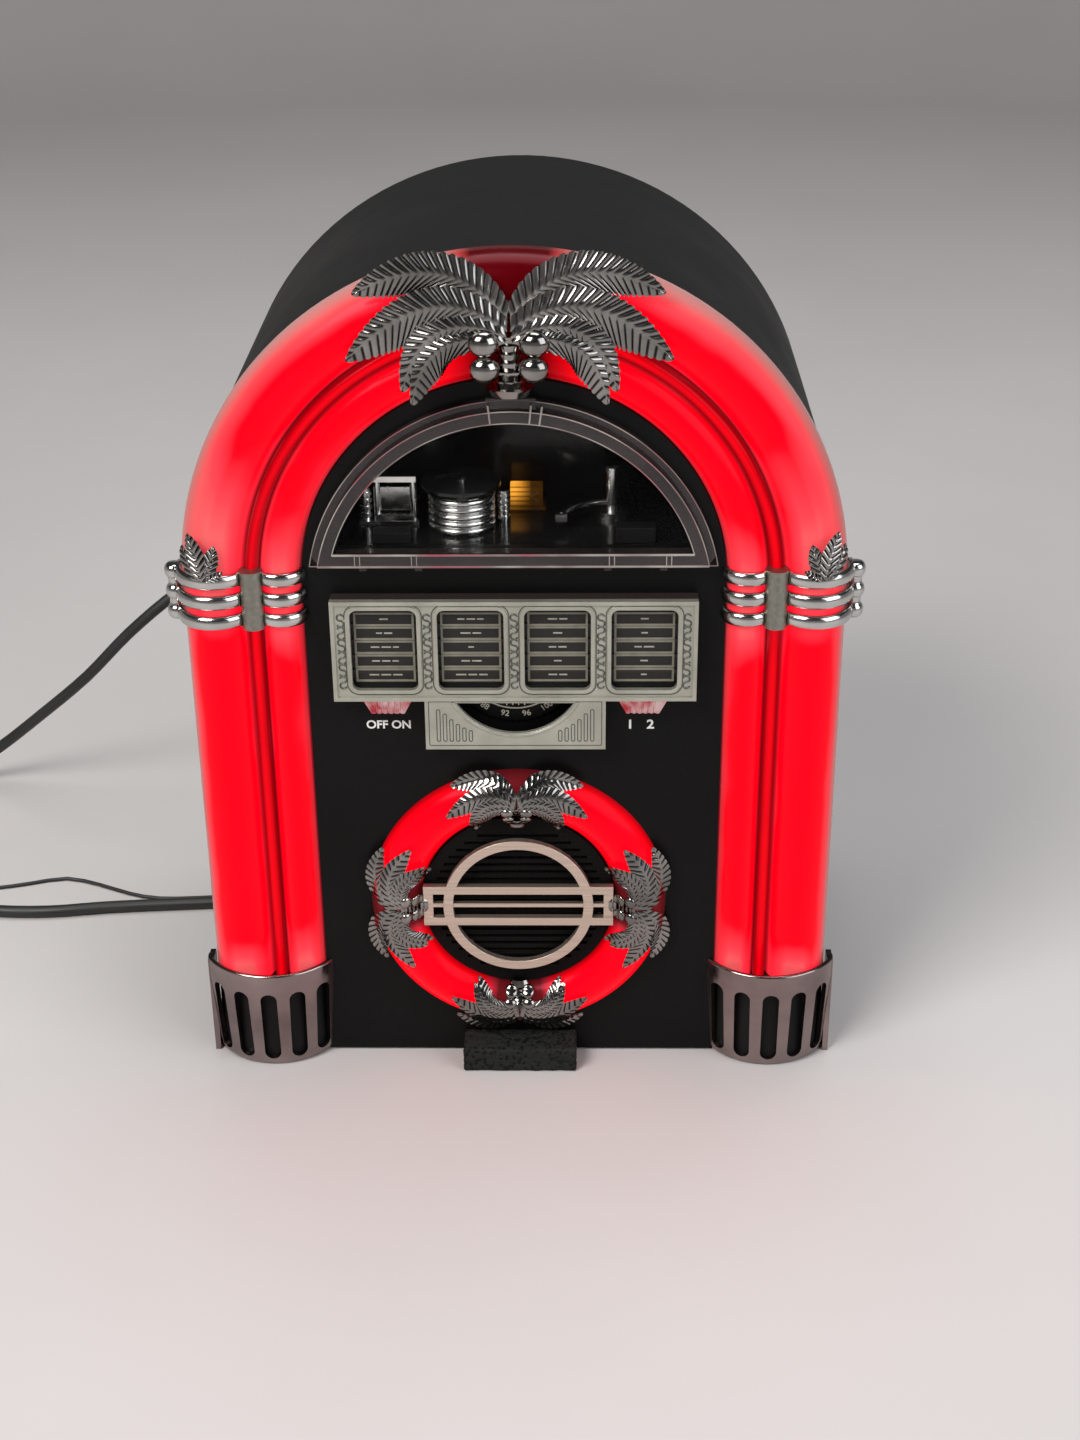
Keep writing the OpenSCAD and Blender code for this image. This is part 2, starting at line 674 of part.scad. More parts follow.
module ring_palm(turn) color("#bfc1c4") translate([0, -palm_seat, ring_z]) rotate([0, turn, 0])
    translate([0, 0, palm_base_r]) resize([ring_palm_w, ring_palm_d, ring_palm_h]) palm_relief(4, 8);
module speaker_palms() for (turn = [0 : 90 : 270]) ring_palm(turn);
// Small sprig of leaves standing on the clamp's top band
module sprig() color("#bfc1c4") translate([outer_c, -outer_lobe_h - fit_gap, clamp_z + clamp_h])
    resize([sprig_h, 3, sprig_h]) {
        for (lean = [-5, 0.5, 6]) frond([[0, 0.5], [lean * 0.4, 7], [lean, 12]], 2.2, 3, 1.2, 0.2);
        translate([-2, -2.2, 0]) cube([4, 2.2, 1.6]);
    }
module clamp_sprigs() both() sprig();

module window_cover() color("#cfe0e4", 0.35) difference() {
    tier = window_d / 2;
    union() {
        through(-tier, 0) window_outline(0, 0);
        through(-window_d, -tier) window_outline(3, 1.2);
        for (x = [-50, -31.5, 31.5, 50]) translate([x - 1.2, -tier - 1.5, window_low - 0.8])
            cube([2.4, 1.8, 2.6]);
        translate([-8, -tier - 1.5, window_z + window_r - 3]) cube([16, 1.8, 3.8]);
    }
    through(pane_t - window_d, 1) window_outline(window_rim, window_sill);
}
module stage() color("#19191a") {
    through(panel_t, stage_back) difference() {
        window_outline(window_rim - stage_wall, window_sill - stage_wall);
        window_outline(window_rim, window_sill);
    }
    through(stage_back, stage_back + stage_wall)
        window_outline(window_rim - stage_wall, window_sill - stage_wall);
}
// Pieces on the stage stand on its floor
module on_stage(x, y) translate([x, y, stage_floor]) children();
stack_x = -0.29 * stage_r;
stack_r = 0.185 * stage_r;
stack_y = 21;
stack_h = 0.24 * stage_r;
spindle_r = 1.5;
gripper_x = -0.656 * stage_r;
gripper_half = 0.1 * stage_r;
gripper_h = 0.27 * stage_r;
reel_x = -0.164 * stage_r;
reel_r = 0.036 * stage_r;
module record_stack() color("#b9bbbe") on_stage(stack_x, stack_y) {
    disc = 0.17 * stack_h;
    cylinder(r = stack_r - 1, h = 5 * disc);
    for (k = [0 : 4]) translate([0, 0, 0.3 + disc * k]) cylinder(r = stack_r, h = 0.7 * disc);
    cylinder(r = 2 * spindle_r, h = stack_h);
    cylinder(r = spindle_r, h = stack_h + 2);
}
module top_record() color("#1c1c1e") on_stage(stack_x, stack_y) translate([0, 0, stack_h]) difference() {
    cylinder(r = stack_r + 2, h = 1.2);
    translate([0, 0, -1]) cylinder(r = spindle_r + shaft_gap, h = 4);
}
module record_gripper() color("#b9bbbe") on_stage(gripper_x, stack_y + 3) {
    bar = gripper_half + 1;
    base = gripper_half + 1.8;
    for (x = [-1, 1]) translate([x * gripper_half, 0, 0]) cylinder(r = 1.3, h = gripper_h - 1);
    translate([-bar, -1.3, gripper_h - 2]) cube([2 * bar, 2.6, 2]);
    translate([-gripper_half, 0, gripper_h / 4]) cube([2 * gripper_half, 1, gripper_h / 2]);
    translate([-gripper_half, -2.4, 1]) cube([2 * gripper_half, 3.4, 2.4]);
    translate([reel_x - reel_r, -3, 0]) cube([base - reel_x + reel_r, 6, 1.2]);
    translate([reel_x, 0, 0]) {
        cylinder(r = reel_r - 0.5, h = 0.75 * gripper_h);
        for (k = [1 : 4]) translate([0, 0, 0.15 * k * gripper_h]) cylinder(r = reel_r, h = 1.2);
    }
}
module selector_post() color("#b9bbbe") on_stage(-0.06 * stage_r, stack_y + 3) {
    cylinder(r = 1.7, h = 11.5);
    for (z = [1.5 : 2 : 11]) translate([0, 0, z]) cylinder(r = 2.2, h = 1);
}
module tone_arm() color("#b9bbbe") on_stage(0.535 * stage_r, 30) {
    cylinder(r = 5, h = 2);
    cylinder(r = 2, h = 0.28 * stage_r);
    translate([0, -18, 5]) rotate_extrude(angle = 75, start = 90) translate([18, 0]) circle(1.1);
    translate([-19.4, -15.4, 3.4]) cube([4, 3, 2.6]);
}
module pilot_lamp() color("#f2a33a") on_stage(0.06 * stage_r, 38) {
    lens = [0.18 * stage_r, 5, 8.5];
    translate([-lens[0] / 2 - 1, -lens[1] / 2 - 1, 0]) cube([lens[0] + 2, lens[1] + 2, 1.2]);
    translate([-lens[0] / 2, -lens[1] / 2, 0]) cube(lens);
}
module stage_blocks() color("#141415") {
    block = 2.1 * gripper_half;
    on_stage(gripper_x, 7) translate([-block / 2, -3, 0]) cube([block, 6, 4]);
    on_stage(-gripper_x, 7) translate([-block / 2, -3, 0]) cube([block, 6, 5.5]);
}

module plate_outline(inset) {
    translate([-plate_w / 2 + inset, plate_low + inset]) square([plate_w - 2 * inset, plate_h - 2 * inset]);
    translate([-tab_w / 2 + inset, tab_low + inset]) square([tab_w - 2 * inset, tab_h]);
}
module title_windows(grow) for (k = [-1.5 : 1.5]) translate([k * title_step, title_z])
    rounded(title_w + 2 * grow, title_h + 2 * grow, 2.5 + grow);
module crescent() intersection() {
    translate([0, dial_z]) circle(crescent_r);
    translate([-crescent_r, tab_low]) square([2 * crescent_r, plate_low - 1 - tab_low]);
}
module title_plate() color("#a9abac") difference() {
    lip = 0.7;
    union() {
        through(-plate_d, 0) plate_outline(0);
        through(-plate_d - lip, -plate_d) {
            difference() {
                translate([-plate_w / 2, plate_low]) square([plate_w, plate_h]);
                translate([-plate_w / 2 + 1.4, plate_low + 1.4]) square([plate_w - 2.8, plate_h - 2.8]);
            }
            title_windows(1.3);
            for (k = [-2 : 2]) translate([k * title_step * 0.985, title_z]) {
                square([0.9, title_h - 3], center = true);
                for (s = [-2 : 2]) translate([0, s * 5.4]) circle(1.5, $fn = 24);
            }
            for (side = [-1, 1], s = [0 : 4])
                translate([side * (tab_w / 2 - 2 - 1.8 * s) - 0.45, tab_low + 3])
                    square([0.9, tab_h - 8 + s]);
        }
    }
    through(plate_skin - plate_d, 1) plate_outline(plate_skin);
    through(-plate_d - 1, 1) {
        title_windows(0);
        crescent();
    }
}
module title_rack() color("#5d5f4a") {
    w = plate_w - 2 * plate_skin - 2 * fit_gap;
    h = plate_h - 2 * plate_skin - 2 * fit_gap;
    through(rack_front, rack_back) translate([0, title_z]) square([w, h], center = true);
    through(rack_front - 0.8, rack_front) for (k = [-1.5 : 1.5], s = [0 : strips])
        translate([k * title_step, title_z + (s - strips / 2) * strip_pitch])
            square([title_w + 2, 1.1], center = true);
}
module title_strips() color("#2b2d2a") through(rack_front - 0.5, rack_front)
    for (k = [-1.5 : 1.5], s = [0 : strips - 1])
        translate([k * title_step, title_z + (s + 0.5 - strips / 2) * strip_pitch])
            square([title_w + 1.4, strip_pitch - 1.1 - 2 * fit_gap], center = true);

// A disc with a milled edge of fine teeth
module milled(r, teeth, cut) polygon([
    for (k = [0 : 2 * teeth - 1]) (r - cut * (k % 2)) * [cos(180 * k / teeth), sin(180 * k / teeth)]
]);
module tuning_dial() color("#131314") difference() {
    union() {
        through(dial_y, dial_y + dial_t) translate([0, dial_z]) milled(dial_r, 60, 0.6);
        through(dial_y, panel_t + 4) translate([0, dial_z]) circle(shaft_r + 2.5);
    }
    through(dial_y - 1, panel_t + 5) translate([0, dial_z]) circle(shaft_r + shaft_gap);
}
capacitor_front = 12;
module tuning_shaft() color("#b5a26a") through(dial_y, capacitor_front + 8)
    translate([0, dial_z]) circle(shaft_r);
module tuning_capacitor() color("#d9d6c8") difference() {
    through(capacitor_front, board_y) translate([0, dial_z]) square(20, center = true);
    through(capacitor_front - 1, capacitor_front + 8 + slide_gap)
        translate([0, dial_z]) circle(shaft_r + shaft_gap);
}

module switch_knob() difference() {
    front = -5.6;
    union() {
        through(front, -slide_gap) polygon([
            [switch_x - knob_w / 2, switch_z + knob_h / 2], [switch_x + knob_w / 2, switch_z + knob_h / 2],
            [switch_x + knob_w / 2 - 3, switch_z - knob_h / 2],
            [switch_x - knob_w / 2 + 3, switch_z - knob_h / 2]
        ]);
        translate([switch_x - stem_w / 2, -1, switch_z - stem_h / 2]) cube([stem_w, panel_t + 4, stem_h]);
    }
    for (k = [-2 : 2]) translate([switch_x + k * 2, front, switch_z]) rotate([0, 0, 45])
        cube([0.8, 0.8, 2 * knob_h], center = true);
}
module band_switch() color("#c9cacc") switch_knob();
module light_switch() color("#c9cacc") mirror([1, 0, 0]) switch_knob();
module switch_body() color("#8f9294") difference() {
    wide = stem_w + 2 * switch_travel;
    translate([switch_x, panel_t + switch_body_d / 2, switch_z])
        cube([wide + 8, switch_body_d, 8], center = true);
    translate([switch_x, panel_t + 1.5, switch_z])
        cube([wide + 2 * slide_gap, 3 + 2 * slide_gap, stem_h + 2 * slide_gap], center = true);
}
module band_switch_body() switch_body();
module light_switch_body() mirror([1, 0, 0]) switch_body();

pot_back = board_y + board_t;
module volume_wheel() color("#131314") {
    through(wheel_y, wheel_y + wheel_t) translate([volume_x, volume_z]) milled(wheel_r, 44, 0.7);
    through(pot_back + 3, wheel_y + 1) translate([volume_x, volume_z]) circle(shaft_r);
}
module volume_control() color("#9a8f62") difference() {
    through(pot_back, pot_back + pot_d) translate([volume_x, volume_z]) square(12, center = true);
    through(pot_back + 3 - slide_gap, pot_back + pot_d + 1)
        translate([volume_x, volume_z]) circle(shaft_r + shaft_gap);
}
module main_board() color("#6d5a2c") difference() {
    translate([board_left, board_y, board_low])
        cube([board_right - board_left, board_t, board_high - board_low]);
    for (x = [-1, 1], z = boss_z) translate([x * boss_x, board_y - 1, z]) rotate([-90, 0, 0])
        cylinder(r = screw_r + 0.3, h = 4);
}
module board_screws() color("#8d8f92") for (x = [-1, 1], z = boss_z)
    translate([x * boss_x, pot_back, z]) rotate([-90, 0, 0]) {
        cylinder(r = 2.6, h = 1.6);
        translate([0, 0, -10]) cylinder(r = screw_r - shaft_gap, h = 10.5);
    }
// Screened coils, a chip and two capacitors on the board
can_w = 8;
can_step = 12;
chip_x = 10;
chip_w = 18;
chip_h = 7;
module board_parts() color("#a7a9ab") {
    for (k = [0 : 2]) translate([board_left + 20 + k * can_step, pot_back, dial_z - can_w])
        cube([can_w, can_w + 2, can_w]);
    translate([chip_x, pot_back, dial_z - 2 * chip_h]) cube([chip_w, chip_h / 2, chip_h]);
    for (k = [0, 1]) translate([chip_x + 30 + k * can_step, pot_back, dial_z - 10]) rotate([-90, 0, 0])
        cylinder(r = can_w / 2, h = can_step);
}
rod_y = pot_back + 8;
rod_r = 5;
rod_l = 88;
winding_l = 24;
saddle_w = 6;
module ferrite_aerial() color("#3a3733") translate([0, rod_y, board_high - 12]) {
    translate([-rod_l / 2, 0, 0]) rotate([0, 90, 0]) cylinder(r = rod_r, h = rod_l);
    translate([rod_l / 2 - 10 - winding_l, 0, 0]) rotate([0, 90, 0]) cylinder(r = rod_r + 1, h = winding_l);
    for (x = [-rod_l / 2 + 12, 0]) translate([x - saddle_w / 2, pot_back - rod_y, -rod_r + 1])
        cube([saddle_w, rod_y - pot_back, 2 * rod_r - 2]);
}
// Laminated core on its strap, with the wound bobbin through it
transformer_x = 40;
transformer_y = 92;
core_w = 46;
core_d = 22;
core_h = 38;
strap_w = 64;
bobbin_w = 28;
bobbin_d = 36;
bobbin_h = 26;
module transformer() color("#6f6a60") translate([transformer_x, transformer_y, inner_floor]) {
    translate([-strap_w / 2, -core_d / 2, 0]) cube([strap_w, core_d, 1.4]);
    translate([-core_w / 2, -core_d / 2, 0]) cube([core_w, core_d, core_h]);
    translate([-bobbin_w / 2, -bobbin_d / 2, (core_h - bobbin_h) / 2]) cube([bobbin_w, bobbin_d, bobbin_h]);
}

module dome_ring(r) intersection() {
    translate([ring_mid, ring_h - ring_arc]) circle(r);
    translate([0, 0]) square([2 * ring_r, 2 * ring_h]);
}
module speaker_ring() color("#f0102c") round_front(ring_z) difference() {
    dome_ring(ring_arc);
    translate([0, -eps]) dome_ring(ring_arc - tube_wall);
    translate([ring_hole_r + tube_wall, -1]) square([ring_r - ring_hole_r - 2 * tube_wall, 1.4]);
}
module ring_lamp_board() color("#d8d8d0") {
    round_front(ring_z) translate([ring_mid - 4, 0]) square([8, 1.2]);
    for (a = [22.5 : 45 : 359]) translate([0, -1.2, ring_z]) rotate([0, a, 0]) translate([ring_mid, 0, 0])
        rotate([90, 0, 0]) cylinder(r = 1.8, h = 1.5);
}
module speaker_grille() color("#0f0f10") difference() {
    through(-grille_t, 0) translate([0, ring_z]) circle(grille_r);
    for (k = [-9 : 9]) through(-grille_t - 1, 1) translate([0, ring_z + 3 * k])
        square([2 * sqrt(pow(grille_r - 4, 2) - 9 * k * k), 1.3], center = true);
}
module grille_trim() color("#b7b1aa") {
    round_front(ring_z) translate([trim_r - trim_w, -trim_back]) square([trim_w, trim_back - trim_front]);
    for (k = [-1, 1]) through(trim_front, trim_back)
        translate([0, ring_z + k * bar_step]) square([bar_l, bar_h], center = true);
    through(trim_front + 0.6, trim_back) translate([0, ring_z]) square([bar_l, bar_h / 2], center = true);
    for (x = [-1, 1]) through(trim_front + 0.6, trim_back)
        translate([x * (bar_l - trim_w) / 2, ring_z]) square([trim_w, 2 * bar_step], center = true);
    for (a = [45 : 90 : 359])
        translate([0, trim_back - eps, ring_z]) rotate([0, a, 0]) translate([trim_r - trim_w / 2, 0, 0])
        rotate([-90, 0, 0]) cylinder(r = 1.3, h = eps - grille_t - trim_back);
}
// Speaker sections, with their depth behind the panel counted as negative height
cone_r = hole_r - 1.5;
module speaker_basket() color("#8b8d90") round_front(ring_z) translate([0, -panel_t]) {
    polygon([
        [cone_r - 2, 0], [hole_r + 3, 0], [hole_r + 3, -1.6], [cone_r + 1.6, -1.6], [19, -20], [19, -22],
        [0, -22], [0, -20.4], [17, -20.4], [cone_r, -1.6], [cone_r - 2, -1.6]
    ]);
}
module speaker_cone() color("#26241f") round_front(ring_z) translate([0, -panel_t - 1.6]) polygon([
    [cone_r - 3.5, 0], [cone_r - 0.4, 0], [cone_r - 1.2, -0.8], [cone_r - 4, -0.8], [9, -12], [9, -18],
    [8.4, -18], [8.4, -12], [0, -10.6], [0, -10], [9, -11.2], [cone_r - 4.4, 0]
]);
module speaker_magnet() color("#55565a") round_front(ring_z)
    translate([0, -panel_t - 22 - 12]) square([20, 12]);

module lead_gland() color("#1a1a1b") translate([gland_x, cabinet_depth, gland_z]) rotate([-90, 0, 0]) {
    cylinder(r = 7, h = 2.5);
    translate([0, 0, -cover_t - 2.5]) cylinder(r = 5, h = cover_t + 3);
    translate([0, 0, -cover_t - 2.5]) cylinder(r = 7, h = 2.5);
    cylinder(r1 = 4.8, r2 = 3.4, h = gland_l);
}
module aerial_grommet() color("#1a1a1b")
    translate([grommet_x, cabinet_depth, grommet_z]) rotate([-90, 0, 0]) {
    cylinder(r = 4, h = grommet_l);
    translate([0, 0, -cover_t - 1.5]) cylinder(r = 2.5, h = cover_t + 2);
    translate([0, 0, -cover_t - 1.5]) cylinder(r = 4, h = 1.5);
}
lead_path = curve_through(lead_route, 2.5 * lead_d);
wire_path = curve_through(wire_route, 4.5 * wire_d);
lead_turns_path = coil_points(lead_coil_c, lead_turns, lead_coil_r, lead_step, lead_low, 180);
lead_coil = with_ends(lead_turns_path, [0, lead_d, 0], [plug_tail, 0, 0]);
wire_turns_path = coil_points(wire_coil_c, wire_turns, wire_coil_r, wire_step, wire_low, -90);
wire_coil = with_ends(wire_turns_path, [-wire_d, 0, 0], [0, wire_d, 0]);
echo(lead_length = path_length(lead_path) + path_length(lead_coil));
echo(lead_coil_gap = own_gap(lead_coil, lead_d));
echo(wire_length = path_length(wire_path) + path_length(wire_coil));
echo(wire_coil_gap = own_gap(wire_coil, wire_d));
echo(rings = [len(lead_path), len(wire_path)]);
module power_lead() color("#1c1c1d") tube(lead_path, lead_d, 10, [0, 0, 1]);
module power_lead_coil() color("#1c1c1d") tube(lead_coil, lead_d, 6, [0, 0, 1]);
module aerial_wire() color("#242425") tube(wire_path, wire_d, 8, [0, 0, 1]);
module aerial_coil() color("#242425") tube(wire_coil, wire_d, 6, [0, 0, 1]);
plug_at = [lead_coil_c[0] + plug_tail, lead_coil_c[1] + lead_end_r, lead_low + lead_step];
module power_plug() color("#1a1a1b") translate(plug_at)
    rotate([0, 90, 0]) {
        half_h = lead_low + lead_step;
        cylinder(r1 = 3.2, r2 = 5, h = 14);
        translate([0, 0, 12]) linear_extrude(24) rounded(2 * half_h, 24, 4);
        for (y = [-6.35, 6.35]) translate([-3.2, y - 0.75, 35]) cube([6.4, 1.5, 18]);
    }

in_frame() cabinet_shell();
in_frame() rear_cover();
in_frame() cover_screws();
in_frame() front_panel();
in_frame() arch_tube();
in_frame() left_column_tube();
in_frame() right_column_tube();
in_frame() arch_lamp_strip();
in_frame() column_lamp_strips();
in_frame() left_clamp();
in_frame() right_clamp();
in_frame() clamp_sprigs();
in_frame() left_foot_cup();
in_frame() right_foot_cup();
in_frame() foot_sockets();
in_frame() front_foot();
in_frame() rear_feet();
in_frame() crest_palm();
in_frame() window_cover();
in_frame() stage();
in_frame() record_stack();
in_frame() top_record();
in_frame() record_gripper();
in_frame() selector_post();
in_frame() tone_arm();
in_frame() pilot_lamp();
in_frame() stage_blocks();
in_frame() title_plate();
in_frame() title_rack();
in_frame() title_strips();
in_frame() tuning_dial();
in_frame() tuning_shaft();
in_frame() tuning_capacitor();
in_frame() band_switch();
in_frame() light_switch();
in_frame() band_switch_body();
in_frame() light_switch_body();
in_frame() volume_wheel();
in_frame() volume_control();
in_frame() main_board();
in_frame() board_screws();
in_frame() board_parts();
in_frame() ferrite_aerial();
in_frame() transformer();
in_frame() speaker_ring();
in_frame() ring_lamp_board();
in_frame() speaker_palms();
in_frame() speaker_grille();
in_frame() grille_trim();
in_frame() speaker_basket();
in_frame() speaker_cone();
in_frame() speaker_magnet();
in_frame() lead_gland();
in_frame() power_lead();
in_frame() power_lead_coil();
in_frame() power_plug();
in_frame() aerial_grommet();
in_frame() aerial_wire();
in_frame() aerial_coil();
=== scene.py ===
import math
import random

import bmesh
import bpy
from mathutils import Matrix, Vector


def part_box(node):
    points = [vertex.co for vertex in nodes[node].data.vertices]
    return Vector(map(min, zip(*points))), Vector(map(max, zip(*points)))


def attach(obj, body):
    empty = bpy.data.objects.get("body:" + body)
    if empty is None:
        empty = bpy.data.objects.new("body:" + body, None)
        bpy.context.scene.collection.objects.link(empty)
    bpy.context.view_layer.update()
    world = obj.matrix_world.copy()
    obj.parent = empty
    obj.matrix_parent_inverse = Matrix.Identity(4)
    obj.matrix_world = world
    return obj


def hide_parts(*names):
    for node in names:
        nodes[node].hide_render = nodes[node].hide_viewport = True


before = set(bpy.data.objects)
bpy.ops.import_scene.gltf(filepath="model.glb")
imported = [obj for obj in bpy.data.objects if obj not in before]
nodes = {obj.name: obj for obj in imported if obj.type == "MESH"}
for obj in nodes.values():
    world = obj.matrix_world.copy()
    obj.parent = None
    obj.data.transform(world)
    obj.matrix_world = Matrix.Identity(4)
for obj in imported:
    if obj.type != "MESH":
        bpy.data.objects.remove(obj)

scene = bpy.context.scene
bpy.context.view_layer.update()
panelY = -63.55  # the panel's face in the frame, mm


def at(x, y, z):
    # a place in millimetres from the panel's face, given in the frame's metres
    return Vector((x, y + panelY, z)) * 0.001


print("frame loaded:", len(nodes), "nodes")

# camera first, then the cords

cameraSet = {"place": (20.7, -712.85, 471.4), "lens": 52.58, "yaw": 1.09, "tilt": 62.93, "roll": -0.55}


def makeCamera(s):
    data = bpy.data.cameras.new("camera")
    data.lens = s["lens"]
    data.sensor_width = 36
    data.clip_start, data.clip_end = 0.01, 50
    cam = bpy.data.objects.new("camera", data)
    scene.collection.objects.link(cam)
    turn = Matrix.Rotation(math.radians(s["yaw"]), 4, "Z")
    tilt = Matrix.Rotation(math.radians(s["tilt"]), 4, "X")
    roll = Matrix.Rotation(math.radians(s["roll"]), 4, "Z")
    cam.matrix_world = Matrix.Translation(Vector(s["place"]) * 0.001) @ turn @ tilt @ roll
    scene.camera = cam


makeCamera(cameraSet)
scene.view_settings.view_transform = "Standard"


# materials: small helpers, then one function for each finish

def startMaterial(name):
    mat = bpy.data.materials.new(name)
    mat.use_nodes = True
    return mat, mat.node_tree.nodes["Principled BSDF"]


def feed(node, key, value):
    # links another node's output, or sets a constant on the socket itself
    if isinstance(value, bpy.types.NodeSocket):
        node.id_data.links.new(value, node.inputs[key])
    else:
        node.inputs[key].default_value = value


def addNode(mat, kind, inputs=None, **props):
    n = mat.node_tree.nodes.new("ShaderNode" + kind)
    for key, value in props.items():
        setattr(n, key, value)
    for key, value in (inputs or {}).items():
        feed(n, key, value)
    return n


def objectPlace(mat, scale=(1, 1, 1), centre=(0, 0, 0), turn=(0, 0, 0)):
    place = addNode(mat, "TexCoord").outputs["Object"]
    if scale == (1, 1, 1) and centre == (0, 0, 0) and turn == (0, 0, 0):
        return place
    moved = addNode(mat, "VectorMath", {0: place, 1: centre}, operation="SUBTRACT").outputs[0]
    return addNode(mat, "Mapping", {"Vector": moved, "Scale": scale, "Rotation": turn}).outputs[0]


def grain(mat, scale, detail=4, rough=0.55, stretch=(1, 1, 1), turn=(0, 0, 0)):
    where = objectPlace(mat, stretch, turn=turn)
    sizes = {"Vector": where, "Scale": scale, "Detail": detail, "Roughness": rough}
    return addNode(mat, "TexNoise", sizes).outputs[0]


def spread(mat, value, low, high, toLow, toHigh):
    ends = {"Value": value, "From Min": low, "From Max": high, "To Min": toLow, "To Max": toHigh}
    return addNode(mat, "MapRange", ends, clamp=True).outputs[0]


def calc(mat, how, a, b=0.0, c=0.0):
    return addNode(mat, "Math", {0: a, 1: b, 2: c}, operation=how).outputs[0]


def times(mat, a, b):
    return calc(mat, "MULTIPLY", a, b)


def shades(mat, value, stops):
    n = addNode(mat, "ValToRGB", {"Fac": value})
    ramp = n.color_ramp
    while len(ramp.elements) < len(stops):
        ramp.elements.new(0.5)
    for e, (place, colour) in zip(ramp.elements, stops):
        e.position = place
        e.color = (*colour, 1)
    return n.outputs[0]


def greys(mat, value, stops):
    return shades(mat, value, [(place, (amount,) * 3) for place, amount in stops])


def axes(mat, centre=(0, 0, 0)):
    return addNode(mat, "SeparateXYZ", {0: objectPlace(mat, centre=centre)}).outputs


def fromAxis(mat, x, z):
    # distance from an axis that runs front to back
    flat = addNode(mat, "CombineXYZ", {0: x, 2: z}).outputs[0]
    return addNode(mat, "VectorMath", {0: flat}, operation="LENGTH").outputs["Value"]


def blendColours(mat, share, first, second):
    pair = [c if isinstance(c, bpy.types.NodeSocket) else (*c, 1) for c in (first, second)]
    return addNode(mat, "Mix", {"Factor": share, 6: pair[0], 7: pair[1]}, data_type="RGBA").outputs[2]


def addBump(mat, shader, height, strength, distance):
    bump = addNode(mat, "Bump", {"Height": height, "Strength": strength, "Distance": distance})
    feed(shader, "Normal", bump.outputs[0])


def blackMoulding(name, tone, gloss, scuffs, bump=0.25, shine=0.3):
    mat, shader = startMaterial(name)
    cloud = grain(mat, 14, 5)
    marks = grain(mat, 46, 7, 0.7, (1, 0.22, 1), (0.3, 0.2, 0.5))
    scratch = spread(mat, marks, 0.63, 0.74, 0, scuffs)
    dark = shades(mat, cloud, [(0.3, (tone * 0.8,) * 3), (0.7, (tone * 1.25, tone * 1.28, tone * 1.28))])
    pale = (tone * 3.2, tone * 3.3, tone * 3.3)
    feed(shader, "Base Color", blendColours(mat, scratch, dark, pale))
    even = spread(mat, cloud, 0.3, 0.7, *gloss)
    feed(shader, "Roughness", calc(mat, "ADD", even, times(mat, scratch, 0.2)))
    if bump:
        addBump(mat, shader, grain(mat, 1500, 3), bump, 0.0002)
    feed(shader, "Specular IOR Level", shine)
    return mat


def redGlow(mat, shader, lit, glow, unlit):
    # the wall's own colour shows where no lamp stands behind it, and deep red where one does
    between = (0.42, 0.05, 0.05) if unlit[1] > 0.1 else unlit
    wall = shades(mat, lit, [(0, unlit), (0.5, between), (0.8, (0.06, 0.0005, 0.002))])
    feed(shader, "Base Color", wall)
    light = shades(mat, lit, [(0, (0.75, 0.06, 0.07)), (0.5, (1, 0.012, 0.04)), (0.85, (1, 0, 0.006))])
    feed(shader, "Emission Color", light)
    feed(shader, "Emission Strength", spread(mat, glow, 0, 1, 0.015, 1.7))
    feed(shader, "Roughness", spread(mat, grain(mat, 60, 4), 0.3, 0.7, 0.16, 0.28))
    feed(shader, "Specular IOR Level", 0.22)
    feed(shader, "Specular Tint", (1, 0.15, 0.22, 1))
    addBump(mat, shader, grain(mat, 90, 3), 0.05, 0.0004)


tubeSet = {  # heights and radii in metres
    "axis": 0.1913, "walls": (0.0716, 0.112), "sides": (-0.0575, -0.0665), "top": 0.3, "wall": (0.5, 0.25, 0.23),
    # light across the tube, with painted shade in a groove on each side of the bead
    "across": [(0.0, 0.3), (0.06, 0.9), (0.3, 1), (0.343, 0.06), (0.372, 0.35), (0.4, 0.6),
               (0.428, 0.35), (0.457, 0.06), (0.5, 1), (0.86, 1), (0.95, 0.5), (1.0, 0.15)],
    # for each lobe its middle, half width and fade, and what is unlit from the floor to the top
    "lobes": [(0.17, 0.05, 0.2, [(0.14, 0.66), (0.21, 0), (0.535, 0), (0.58, 0.5), (0.655, 0.55), (0.73, 0)]),
              (0.71, 0.07, 0.27, [(0.14, 0.62), (0.18, 0), (0.565, 0), (0.62, 0.62), (0.7, 0.6), (0.83, 0)])],
    "crown": (0.009, 0.026), "crownFrom": (0.25, 0.24),
}


